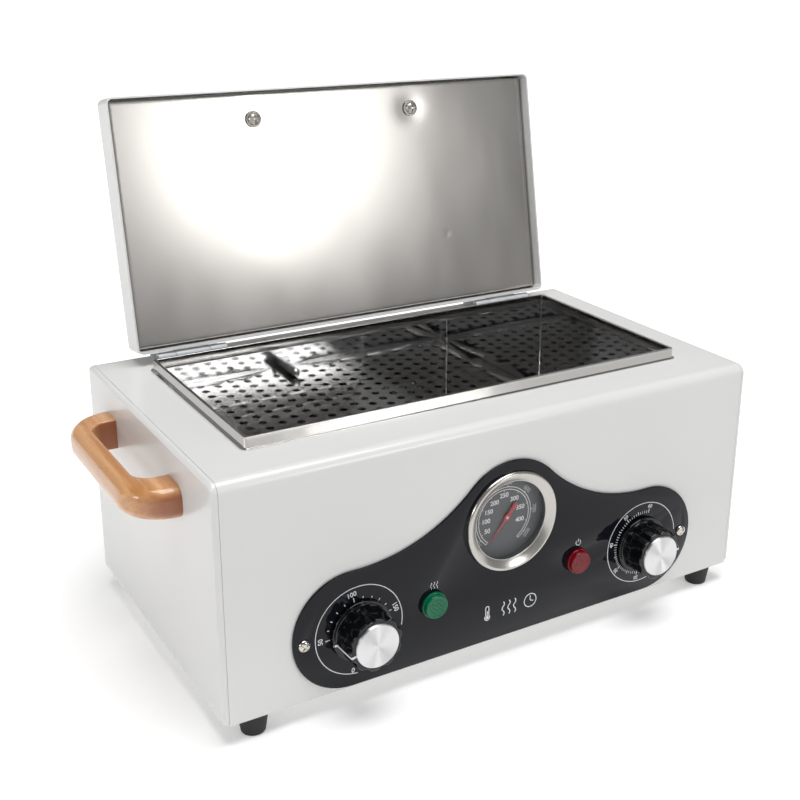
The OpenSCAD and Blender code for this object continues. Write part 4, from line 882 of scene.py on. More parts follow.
@dataclass
class Chamber:
    """The polished chamber: liner with its weld seam, folded rim and perforated floor with two swages."""

    shop: Workshop
    hem_mm: float = 0.85
    swages_mm: tuple[float, ...] = (-8.0, 14.0)
    swage_mm: float = 0.8
    swage_high_mm: float = 0.05
    seam_x_mm: float = 62.8
    seam_mm: float = 0.45
    seam_short_mm: float = 4.0
    seam_sides: int = 12
    wall_mm: float = 0.8

    def floor(self) -> BMesh:
        """Presses the long swages into a copy of the perforated floor.

        Returns:
            The floor.
        """
        bm = self.shop.welded("chamber_floor")
        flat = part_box("chamber_floor")[1].z - 1.5 * self.wall_mm * MM
        for line in self.swages_mm:
            for shift in (-self.swage_mm, 0.0, self.swage_mm):
                whole = bm.verts[:] + bm.edges[:] + bm.faces[:]
                place = Vector((0, (line + shift) * MM, 0))
                bmesh.ops.bisect_plane(bm, geom=whole, dist=WELD / 4, plane_co=place, plane_no=Axis.Y.value)
            for vert in bm.verts:
                if abs(vert.co.y - line * MM) < WELD and vert.co.z > flat:
                    vert.co.z += self.swage_high_mm * MM
        return bm

    def seam(self) -> BMesh:
        """Lays the weld bead down the rear wall.

        Returns:
            The bead.
        """
        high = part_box("chamber_liner")[1]
        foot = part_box("chamber_floor")[1].z
        tall = high.z - foot - self.seam_short_mm * MM
        place = Matrix.Translation((self.seam_x_mm * MM, high.y - self.wall_mm * MM, foot + tall / 2))
        bm = bmesh.new()
        round_bar = {"radius1": self.seam_mm * MM, "radius2": self.seam_mm * MM, "depth": tall}
        bmesh.ops.create_cone(bm, cap_ends=True, segments=self.seam_sides, matrix=place, **round_bar)
        return bm

    def build(self) -> None:
        """Rounds the rim's fold and dresses the sheets."""
        shop, slot = self.shop, "polished_stainless"
        shop.keep(MIRROR_STEEL, "chamber_liner")
        shop.piece(self.floor(), "chamber_floor_sheet", TRAY_STEEL, Body.CASING, slot, ["chamber_floor"])
        shop.piece(self.seam(), "chamber_weld_bead", RIM_STEEL, Body.CASING, slot)
        shop.rounded("chamber_rim", RIM_STEEL, Body.CASING, slot, self.hem_mm, 4)


@dataclass
class Lid:
    """The open lid: shell, pan with its screws, and hinges."""

    shop: Workshop
    lid_frame: LidFrame
    edge_mm: float = 1.0
    sheet_mm: float = 0.8
    cell_mm: float = 1.5
    dent: Place = (77.8, 46.1, 0.1)
    dent_radius_mm: float = 2.0
    dimple_mm: float = 0.35
    dimple_radius_mm: float = 9.0
    ripple_mm: float = 0.12
    ripple_long_m: Span = (0.061, 0.043)
    ripple_start: Span = (1.3, 0.4)
    turn_steps: int = 5
    screw_edge_mm: float = 0.15
    washer_edge_mm: float = 0.25
    leaf_edge_mm: float = 0.2

    def pan(self) -> BMesh:
        """Builds the pan's sheet, closed: a fine grid with its dents, and edges that turn up.

        Returns:
            The pan in its closed place.
        """
        low, high = self.lid_frame.closed_box(self.shop.mesh("lid_liner"))
        edge = self.edge_mm * MM
        flat = Vector((high.x - low.x - 2 * edge, high.y - low.y - 2 * edge, 1))
        middle = Vector(((low.x + high.x) / 2, (low.y + high.y) / 2, low.z))
        bm = bmesh.new()
        bmesh.ops.create_grid(
            bm,
            x_segments=round(flat.x / (self.cell_mm * MM)),
            y_segments=round(flat.y / (self.cell_mm * MM)),
            size=0.5,
            matrix=Matrix.Translation(middle) @ Matrix.Diagonal((flat.x, flat.y, 1, 1)),
        )
        self.press(bm, low, high)
        rim = [e for e in bm.edges if e.is_boundary]
        for i in range(1, self.turn_steps + 1):
            angle = math.pi / 2 * i / self.turn_steps
            height = low.z + edge * (1 - math.cos(angle))
            rim = self.turn_up(bm, rim, middle, flat / 2, edge * math.sin(angle), height)
        self.turn_up(bm, rim, middle, flat / 2, edge, high.z)
        bmesh.ops.recalc_face_normals(bm, faces=bm.faces)
        bmesh.ops.solidify(bm, geom=bm.faces[:], thickness=self.sheet_mm * MM)
        return bm

    def turn_up(
        self, bm: BMesh, rim: list, middle: Vector, half: Vector, out: float, height: float
    ) -> list:
        """Draws the pan's free edge one step further.

        Args:
            bm: The pan.
            rim: Its free edges.
            middle: Middle of its flat face.
            half: Half the flat face's width and depth.
            out: How far the new edge lies outside the flat face.
            height: The new edge's height.

        Returns:
            The new free edges.
        """
        made = bmesh.ops.extrude_edge_only(bm, edges=rim)["geom"]
        for vert in only(made, BMVert):
            for axis in (0, 1):
                side = vert.co[axis] - middle[axis]
                if abs(side) > half[axis] - WELD:
                    vert.co[axis] = middle[axis] + math.copysign(half[axis] + out, side)
            vert.co.z = height
        return only(made, BMEdge)

    def press(self, bm: BMesh, low: Vector, high: Vector) -> None:
        """Presses the dent, the dimples round the screws and a slow ripple into the sheet.

        Args:
            bm: The flat sheet.
            low: The pan's lowest corner.
            high: Its highest corner.
        """
        screws = self.screw_places()
        half = (high - low) / 2
        middle = (low + high) / 2
        spot = Vector((self.dent[0] * MM, high.y - self.dent[1] * MM))
        (long_x, long_y), (start_x, start_y) = self.ripple_long_m, self.ripple_start
        for vert in bm.verts:
            here = vert.co.xy
            inward = math.prod(1 - (abs(here[i] - middle[i]) / half[i]) ** 4 for i in (0, 1))
            ripple = math.sin(here.x / long_x + start_x) * math.cos(here.y / long_y + start_y)
            rise = self.ripple_mm * inward * ripple + self.dent[2] * bell(here - spot, self.dent_radius_mm)
            rise += self.dimple_mm * sum(bell(here - place, self.dimple_radius_mm) for place in screws)
            vert.co.z += rise * MM

    def screw_places(self) -> list[Vector]:
        """Gives where the two screws stand on the closed pan, seen from above."""
        low, high = self.lid_frame.closed_box(self.shop.mesh("lid_screws"))
        inset = (high.y - low.y) / 2
        return [Vector((x, (low.y + high.y) / 2)) for x in (low.x + inset, high.x - inset)]

    def build(self) -> None:
        """Dresses the lid."""
        shop, slot = self.shop, "chrome_trim"
        shop.keep(ENAMEL, "lid_shell")
        pan = self.lid_frame.open(self.pan())
        shop.piece(pan, "lid_pan", PAN_STEEL, Body.LID, "satin_stainless", ["lid_liner"])
        shop.rounded("lid_screws", NICKEL_DULL, Body.LID, slot, self.screw_edge_mm)
        shop.rounded("lid_washers", NICKEL_DULL, Body.LID, slot, self.washer_edge_mm)
        shop.keep(WOOL, "lid_insulation")
        # The hinge leaves take the enamel with its painted shade.
        shop.rounded("hinge_lid_leaves", HINGE_ENAMEL, Body.LID, slot, self.leaf_edge_mm)
        shop.rounded("hinge_body_leaves", HINGE_ENAMEL, Body.CASING, slot, self.leaf_edge_mm)
        shop.keep(NICKEL, "hinge_lid_rivets", "hinge_body_rivets", "hinge_pins")


@dataclass
class BowHandles:
    """The three wooden bow handles."""

    shop: Workshop
    lid_frame: LidFrame
    leg_mm: float = 21.0
    bar_mm: float = 10.5
    outer_mm: float = 25.5
    inner_mm: float = 10.5
    edge_mm: float = 6.4
    inner_edge_mm: float = 1.2
    edge_profile: float = 0.46
    bend_facets: int = 14
    edge_facets: int = 6
    smooth: float = 60.0

    def bow(self, length: float, reach: float, thick: float) -> BMesh:
        """Builds a handle standing on its feet, with its length along X.

        Args:
            length: Its length in metres.
            reach: How far it stands out.
            thick: The height of its section.

        Returns:
            The handle, with its feet on Z = 0.
        """
        half, leg, under = length / 2, self.leg_mm * MM, reach - self.bar_mm * MM
        bm = bmesh.new()
        places = [(-half, 0), (-half, reach), (half, reach), (half, 0)]
        places += [(half - leg, 0), (half - leg, under), (leg - half, under), (leg - half, 0)]
        corners = [bm.verts.new((x, -thick / 2, z)) for x, z in places]
        bm.faces.new(corners)
        for chosen, radius in ((corners[1:3], self.outer_mm), (corners[5:7], self.inner_mm)):
            bend = {"offset": radius * MM, "segments": self.bend_facets, "profile": 0.5, "affect": "VERTICES"}
            bmesh.ops.bevel(bm, geom=chosen, material=-1, **bend)
        sheet = bmesh.ops.extrude_face_region(bm, geom=bm.faces[:])["geom"]
        bmesh.ops.translate(bm, verts=only(sheet, BMVert), vec=(0, thick, 0))
        window = half - leg + WELD
        for inside, radius in ((False, self.edge_mm), (True, self.inner_edge_mm)):
            edges = [
                e
                for e in bm.edges
                if abs(e.verts[0].co.y - e.verts[1].co.y) < WELD
                and abs(abs(e.verts[0].co.y) - thick / 2) < WELD
                and max(v.co.z for v in e.verts) > WELD
                and inside == all(abs(v.co.x) < window and v.co.z < under + WELD for v in e.verts)
            ]
            round_off = {"offset": radius * MM, "segments": self.edge_facets, "profile": self.edge_profile}
            round_off.update({"offset_type": "OFFSET", "affect": "EDGES", "clamp_overlap": False})
            bmesh.ops.bevel(bm, geom=edges, material=-1, **round_off)
        bmesh.ops.remove_doubles(bm, verts=bm.verts, dist=WELD)
        bmesh.ops.recalc_face_normals(bm, faces=bm.faces)
        return bm

    def build(self) -> None:
        """Puts a handle on each side and one on the lid."""
        for side, node in ((-1, "handle_left"), (1, "handle_right")):
            low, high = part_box(node)
            root = Vector((high.x if side < 0 else low.x, (low.y + high.y) / 2, (low.z + high.z) / 2))
            place = Matrix(((0, 0, side, root.x), (1, 0, 0, root.y), (0, side, 0, root.z), (0, 0, 0, 1)))
            bow = moved(self.bow(high.y - low.y, high.x - low.x, high.z - low.z), place)
            self.shop.piece(bow, node + "_wood", BEECH_SIDE, Body.CASING, "beech", [node], self.smooth)
        low, high = self.lid_frame.closed_box(self.shop.mesh("lid_handle"))
        root = Vector(((low.x + high.x) / 2, (low.y + high.y) / 2, low.z))
        bow = moved(self.bow(high.x - low.x, high.z - low.z, high.y - low.y), Matrix.Translation(root))
        bow = self.lid_frame.open(bow)
        self.shop.piece(bow, "lid_handle_wood", BEECH_LID, Body.LID, "beech", ["lid_handle"], self.smooth)


@dataclass
class Print:
    """Flat printing on a face that looks to the front: arcs, bars and numerals."""

    centre: Vector
    marks: list[BMesh]
    facet_degrees: float = 4.0
    digit_share: float = 0.7
    bold: float = 0.035

    def arc(
        self, radius_mm: float, width_mm: float, start: float, end: float, centre: Vector | None = None
    ) -> None:
        """Prints a curved line.

        Args:
            radius_mm: Its radius.
            width_mm: Its width.
            start: Its first clock angle in degrees.
            end: Its last clock angle.
            centre: Its middle, where that isn't the print's own.
        """
        middle = centre or self.centre
        bm = bmesh.new()
        verts = [bm.verts.new(clock(middle, start, radius_mm + s * width_mm / 2)) for s in (-1, 1)]
        edge = bm.edges.new(verts)
        steps = max(8, round(abs(end - start) / self.facet_degrees))
        angle = math.radians(end - start)
        bmesh.ops.spin(bm, geom=verts + [edge], cent=middle, axis=Axis.Y.value, angle=angle, steps=steps)
        self.marks.append(bm)

    def bar(self, angle: float, inner_mm: float, outer_mm: float, width_mm: float) -> None:
        """Prints a straight mark that points outwards.

        Args:
            angle: Its clock angle in degrees.
            inner_mm: Where it starts.
            outer_mm: Where it ends.
            width_mm: Its width.
        """
        bm = bmesh.new()
        size = Matrix.Diagonal((width_mm * MM, (outer_mm - inner_mm) * MM, 1, 1))
        bmesh.ops.create_grid(bm, x_segments=1, y_segments=1, size=0.5, matrix=size)
        self.place(bm, angle, (inner_mm + outer_mm) / 2, angle)

    def place(self, bm: BMesh, angle: float, radius_mm: float, tilt: float) -> None:
        """Stands a flat mark up on the face and moves it to its angle and radius.

        Args:
            bm: The mark, drawn in XY.
            angle: The clock angle of its middle in degrees.
            radius_mm: The radius of its middle.
            tilt: How far it is turned clockwise.
        """
        stand = Matrix.Rotation(math.radians(tilt), 4, "Y") @ Matrix.Rotation(math.pi / 2, 4, "X")
        self.marks.append(moved(bm, Matrix.Translation(clock(self.centre, angle, radius_mm)) @ stand))

    def numeral(self, text: str, height_mm: float, angle: float, radius_mm: float, tilt: float) -> None:
        """Prints a number.

        Args:
            text: Its digits.
            height_mm: Their height.
            angle: The clock angle of its middle in degrees.
            radius_mm: The radius of its middle.
            tilt: How far it is turned clockwise.
        """
        letters = bpy.data.curves.new("numeral", "FONT")
        letters.body = text
        letters.size = height_mm * MM / self.digit_share
        letters.offset = self.bold * height_mm * MM
        letters.align_x = "CENTER"
        letters.align_y = "CENTER"
        holder = placed("numeral", letters)
        bpy.context.view_layer.update()
        shape = bpy.data.meshes.new_from_object(holder)
        bm = bmesh.new()
        bm.from_mesh(shape)
        bpy.data.objects.remove(holder)
        bpy.data.meshes.remove(shape)
        bpy.data.curves.remove(letters)
        self.place(bm, angle, radius_mm, tilt)

    def sheet(self) -> BMesh:
        """Gives all the marks as one layer of ink.

        Returns:
            The ink, whose faces look to the front.
        """
        bm = joined(self.marks)
        bmesh.ops.recalc_face_normals(bm, faces=bm.faces)
        for face in (f for f in bm.faces if f.normal.y > 0):
            face.normal_flip()
        return bm


@dataclass(frozen=True)
class Sign:
    """A plain sign made of arcs and bars.

    Attributes:
        line_mm: Width of its lines.
        arcs: Right and up from its middle, radius, first and last clock angle of each arc.
        bars: Right from its middle, clock angle, start and end of each bar.
        drops: Up from its middle and radius of each filled round.
    """

    line_mm: float
    arcs: tuple[tuple[float, ...], ...] = ()
    bars: tuple[tuple[float, ...], ...] = ()
    drops: tuple[Span, ...] = ()

    def draw(self, sheet: Print, middle: Vector, size: float = 1.0) -> None:
        """Prints the sign.

        Args:
            sheet: The print that takes it.
            middle: The sign's middle.
            size: Its scale.
        """
        line = self.line_mm * size
        for right, up, radius, start, end in self.arcs:
            sheet.arc(radius * size, line, start, end, beside(middle, (right * size, up * size)))
        for up, radius in self.drops:
            sheet.arc(radius / 2 * size, radius * size, 0, 360, beside(middle, (0, up * size)))
        for right, angle, start, end in self.bars:
            foot = Print(beside(middle, (right * size, 0)), sheet.marks)
            foot.bar(angle, start * size, end * size, line)


# Three rising waves, each of three bends, stand for heat.
HEAT_SIGN = Sign(
    0.32,
    arcs=tuple(
        (wave - turn * 0.55, up, 0.9, 90 * turn - 52, 90 * turn + 52)
        for wave in (-1.9, 0, 1.9)
        for up, turn in ((-1.4, 1), (0, -1), (1.4, 1))
    ),
)
# An open ring with a stroke stands for power.
POWER_SIGN = Sign(0.45, arcs=((0, 0, 1.7, 35, 325),), bars=((0, 0, 0.3, 2.4),))
# A clock's face with two hands stands for time.
CLOCK_SIGN = Sign(0.6, arcs=((0, 0, 4.2, 0, 360),), bars=((0, 0, 0, 3.0), (0, 110, 0, 2.3)))
# A glass thermometer with its bulb, walls, top and column stands for temperature.
PROBE_SIGN = Sign(
    0.6,
    arcs=((0, -2.6, 1.7, 40, 320), (0, 3.5, 1.1, -90, 90)),
    bars=((-1.1, 0, -1.4, 3.6), (1.1, 0, -1.4, 3.6), (0, 0, -1.5, 1.6)),
    drops=((-2.6, 1.1),),
)


@dataclass
class Fascia:
    """The charcoal fascia plate, its screws and its printing."""

    shop: Workshop
    line_mm: float = 0.5
    arc_mm: float = 26.15
    tick_mm: float = 0.6
    minor_tick_mm: float = 0.42
    thermostat_shift_mm: Span = (-0.6, -0.1)
    thermostat_arc: Span = (-177, 100.8)
    thermostat_numbers: tuple[tuple[str, float, float], ...] = (
        ("0", -170, 24.0),
        ("50", -91.5, 23.1),
        ("100", -11.5, 22.4),
        ("150", 71.4, 23.1),
    )
    thermostat_ticks: tuple[float, ...] = (-93, -9.7, 72)
    thermostat_tick_mm: Span = (17.6, 20.4)
    thermostat_dots: tuple[float, ...] = (-75.7, -59.8, -43.5, -26.8, 6.9, 23.3, 39.1, 55.9)
    thermostat_dot_mm: Span = (18.5, 19.8)
    timer_shift_mm: Span = (1.1, 0.25)
    timer_arc: Span = (-197.2, 85)
    timer_zero: float = 92.6
    timer_pitch: float = 4.667
    timer_inner_mm: float = 19.3
    timer_ends_mm: tuple[float, ...] = (20.9, 21.4, 22.0)
    timer_numbers_mm: float = 23.7
    digits_mm: float = 2.7
    small_digits_mm: float = 2.3
    plate_edge_mm: float = 0.3
    screw_edge_mm: float = 0.12
    lamp_sign_up_mm: float = 11.8
    signs_down_mm: float = 16.7
    signs_apart_mm: float = 15.0

    def thermostat_scale(self, centre: Vector) -> Print:
        """Prints the thermostat's scale. The printer set its middle a little beside the shaft's.

        Args:
            centre: The shaft's middle on the face of the plate.

        Returns:
            The print.
        """
        scale = Print(beside(centre, self.thermostat_shift_mm), [])
        scale.arc(self.arc_mm, self.line_mm, *self.thermostat_arc)
        for text, angle, radius in self.thermostat_numbers:
            scale.numeral(text, self.digits_mm, angle, radius, angle)
        for angles, reach in (
            (self.thermostat_ticks, self.thermostat_tick_mm),
            (self.thermostat_dots, self.thermostat_dot_mm),
        ):
            for angle in angles:
                scale.bar(angle, *reach, self.tick_mm)
        return scale

    def timer_scale(self, centre: Vector) -> Print:
        """Prints the timer's scale: 0 to 60 minutes, clockwise from the right.

        Args:
            centre: The shaft's middle on the face of the plate.

        Returns:
            The print.
        """
        scale = Print(beside(centre, self.timer_shift_mm), [])
        scale.arc(self.arc_mm, self.line_mm, *self.timer_arc)
        for minute in range(61):
            angle = self.timer_zero + minute * self.timer_pitch
            reach = self.timer_ends_mm[(minute % 5 == 0) + (minute % 10 == 0)]
            scale.bar(angle, self.timer_inner_mm, reach, self.minor_tick_mm if minute % 5 else self.tick_mm)
            if minute and minute % 10 == 0:
                scale.numeral(str(minute), self.small_digits_mm, angle, self.timer_numbers_mm, angle)
        return scale

    def signs(self, centre: Vector) -> Print:
        """Prints the signs over the lamps and three plain signs in the middle.

        Args:
            centre: The middle of the plate's face.

        Returns:
            The print.
        """
        sheet = Print(centre, [])
        middle = Vector((0, centre.y, self.shop.middle("lamp_green_lens").z - self.signs_down_mm * MM))
        for node, sign in (("lamp_green_lens", HEAT_SIGN), ("lamp_red_lens", POWER_SIGN)):
            lamp = self.shop.middle(node)
            sign.draw(sheet, beside(Vector((lamp.x, centre.y, lamp.z)), (0, self.lamp_sign_up_mm)))
        for side, sign, size in ((-1, PROBE_SIGN, 1.0), (0, HEAT_SIGN, 2.1), (1, CLOCK_SIGN, 1.0)):
            sign.draw(sheet, beside(middle, (side * self.signs_apart_mm, 0)), size)
        return sheet

    def build(self) -> None:
        """Dresses the plate and prints it."""
        shop = self.shop
        shop.rounded("fascia_plate", FASCIA_BLACK, Body.CASING, "fascia_black", self.plate_edge_mm)
        shop.rounded("fascia_screws", NICKEL, Body.CASING, "chrome_trim", self.screw_edge_mm)
        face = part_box("fascia_plate")[0].y - INK
        for name, node, draw in (
            ("thermostat_scale_print", "thermostat_shaft", self.thermostat_scale),
            ("timer_scale_print", "timer_shaft", self.timer_scale),
            ("fascia_sign_print", "fascia_plate", self.signs),
        ):
            centre = self.shop.middle(node)
            scale = draw(Vector((centre.x, face, centre.z)))
            self.shop.piece(scale.sheet(), name, INK_WHITE, Body.CASING, "fascia_black")


@dataclass
class Thermometer:
    """The dial thermometer: bezel, glass, printed dial and needle."""

    shop: Workshop
    celsius_step: int = 50
    fahrenheit_step: int = 100
    celsius: tuple[float, ...] = (-119, -89.3, -61.7, -32.3, -0.4, 34.7, 71.6, 109.6)
    fahrenheit: tuple[float, ...] = (-126, -95, -64, -29.5, 6.8, 48, 88, 130)
    arcs_mm: Span = (18.5, 17.0)
    arc_line_mm: float = 0.44
    tick_mm: float = 0.36
    wide_tick_mm: float = 0.9
    arc_ends: Span = (-141, 146)
    end_bar_mm: Span = (16.85, 18.65)
    celsius_bar_mm: Span = (15.9, 17.0)
    fahrenheit_bar_mm: Span = (18.4, 19.2)
    digits_mm: Span = (2.75, 2.6)
    half_high_mm: float = 1.4
    half_wide_mm: Span = (1.9, 2.9)
    numbers_mm: float = 15.0
    outer_numbers_mm: float = 21.0
    print_shift_mm: Span = (-1.36, -0.14)
    opening_mm: float = 23.7
    seat_mm: float = 26.2
    lip_mm: float = 0.7
    rim_mm: float = 1.6
    needle_edge_mm: float = 0.08
    rivet_mm: float = 0.85
    facets: int = 128
    rivet_facets: int = 24
    dome: tuple[Span, ...] = ((0, 0.05), (1, 0.05), (0.9, -0.15), (0.5, -0.3), (0, -0.35))

    def bezel(self, centre: Vector) -> BMesh:
        """Turns the bezel: a rounded rim, a broad face that falls inwards, and a rolled lip.

        Args:
            centre: A point on the dial's line.

        Returns:
            The bezel.
        """
        outer, front, lip_back = self.shop.disc_mm("gauge_bezel")
        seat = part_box("fascia_plate")[0].y / MM
        inner, wall, roll = self.opening_mm, self.seat_mm, self.lip_mm / 2
        points = [(wall, seat), (outer, seat)]
        points += fillet((outer - self.rim_mm, front + self.rim_mm), self.rim_mm, 0, -110, 10)
        points += fillet((inner + roll, lip_back - roll), roll, -70, -180)
        points += [(inner, lip_back), (wall, lip_back), (wall, seat)]
        return turned(points, centre, self.facets)

    def face_print(self, centre: Vector) -> tuple[Print, Print]:
        """Prints the dial: a double arc, inner numerals in white and outer ones in grey.

        Args:
            centre: The middle of the print.

        Returns:
            The white print and the grey one.
        """
        white, grey = Print(centre, []), Print(centre, [])
        for radius in self.arcs_mm:
            white.arc(radius, self.arc_line_mm, *self.arc_ends)
        for angle in self.arc_ends:
            white.bar(angle, *self.end_bar_mm, self.tick_mm)
        for i, angle in enumerate(self.celsius):
            white.bar(angle, *self.celsius_bar_mm, self.tick_mm)
            turn = math.radians(angle)
            inset = self.half_high_mm * abs(math.cos(turn)) + self.half_wide_mm[i > 0] * abs(math.sin(turn))
            number = str(self.celsius_step * (i + 1))
            white.numeral(number, self.digits_mm[0], angle, self.numbers_mm - inset, 0)
        for i, angle in enumerate(self.fahrenheit):
            white.bar(angle, *self.fahrenheit_bar_mm, self.wide_tick_mm)
            number = str(self.fahrenheit_step * (i + 1))
            grey.numeral(number, self.digits_mm[1], angle, self.outer_numbers_mm, angle)
        return white, grey

    def build(self) -> None:
        """Dresses the thermometer."""
        shop = self.shop
        centre = shop.middle("gauge_bezel")
        # The bezel is worn by wiping, so the light from above blurs on its face.
        steel = TurnedSteel("stainless_turned", "#c2bfba", 0.25, 1.0, centre=tuple(centre))
        shop.piece(self.bezel(centre), "gauge_bezel_ring", steel, Body.CASING, "bezel_steel", ["gauge_bezel"])
        shop.keep(GLASS, "gauge_glass")
        shop.keep(DIAL_GREY, "gauge_dial")
        shop.keep(ZINC, "gauge_case")
        shop.keep(MIRROR_STEEL, "gauge_stem", "gauge_stem_nut")
        dial = Vector((centre.x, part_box("gauge_dial")[0].y - INK, centre.z))
        white, grey = self.face_print(beside(dial, self.print_shift_mm))
        # The white print takes the ink painted brighter for the shade behind the glass.
        shop.piece(white.sheet(), "gauge_dial_print", INK_DIAL, Body.CASING, "dial_black")
        shop.piece(grey.sheet(), "gauge_dial_print_grey", INK_GREY, Body.CASING, "dial_black")
        shop.rounded("gauge_needle", NEEDLE_RED, Body.NEEDLE, "needle_red", self.needle_edge_mm, 1)
        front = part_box("gauge_needle")[0].y / MM
        points = [(share * self.rivet_mm, front + y) for share, y in self.dome]
        rivet = turned(points, centre, self.rivet_facets)
        shop.piece(rivet, "needle_rivet", RIVET_CREAM, Body.NEEDLE, "needle_red")


@dataclass
class PilotLamps:
    """The green and the red pilot lamp."""

    shop: Workshop
    flange_mm: float = 0.7
    flange_t_mm: float = 1.4
    flange_edge_mm: float = 0.5
    edge_mm: float = 0.8
    rings: int = 22
    facets: int = 72
    fade_mm: float = 0.8
    play_mm: float = 0.01
    bead_mm: float = 1.9
    bead_high_mm: float = 0.4
    rib_mm: float = 1.2
    rib_high_mm: float = 0.24

    def lens(self, node: str, beaded: bool) -> BMesh:
        """Turns a lens with its flange, and presses beads or ribs into its face.

        Args:
            node: The lens's CAD node.
            beaded: Whether its face has beads, or else fine ribs.

        Returns:
            The lens.
        """
        centre = self.shop.middle(node)
        flange, front, back = self.shop.disc_mm(node)
        body, edge, turn = flange - self.flange_mm, self.edge_mm, self.flange_edge_mm
        step = back - self.flange_t_mm
        points = [(0, back), (flange, back)]
        points += fillet((flange - turn, step + turn), turn, 0, -90, 4)
        points += [(body, step)]
        points += fillet((body - edge, front + edge), edge, 0, -90, 6)
        points += [((body - edge) * (1 - k / self.rings), front) for k in range(1, self.rings + 1)]
        bm = turned(points, Vector((centre.x, 0, centre.z)), self.facets)
        for vert in bm.verts:
            out = Vector((vert.co.x - centre.x, vert.co.z - centre.z)) / MM
            if vert.co.y < (front + self.play_mm) * MM and out.length < body - edge:
                fade = min(1.0, (body - edge - out.length) / self.fade_mm)
                vert.co.y += self.relief(out, beaded) * fade * MM
        return bm

    def relief(self, out: Vector, beaded: bool) -> float:
        """Gives how far the face is pressed in at a point, in millimetres.

        Args:
            out: The point, from the lens's middle in millimetres.
            beaded: Whether the face has beads.

        Returns:
            The depth.
        """
        if beaded:
            pitch = self.bead_mm * math.sqrt(2)
            rows = math.cos(math.pi * (out.x + out.y) / pitch) * math.cos(math.pi * (out.x - out.y) / pitch)
            return self.bead_high_mm * (1 - abs(rows))
        return self.rib_high_mm / 2 * (1 - math.cos(FULL_TURN * out.x / self.rib_mm))

    def build(self) -> None:
        """Dresses both lamps."""
        for node, finish, slot in (
            ("lamp_green_lens", LENS_GREEN, "green_lens"),
            ("lamp_red_lens", LENS_RED, "red_lens"),
        ):
            bm = self.lens(node, node == "lamp_green_lens")
            self.shop.piece(bm, node + "_moulding", finish, Body.CASING, slot, [node])
        self.shop.keep(KNOB_BLACK, "lamp_bodies")
        self.shop.keep(ZINC, "lamp_nuts")


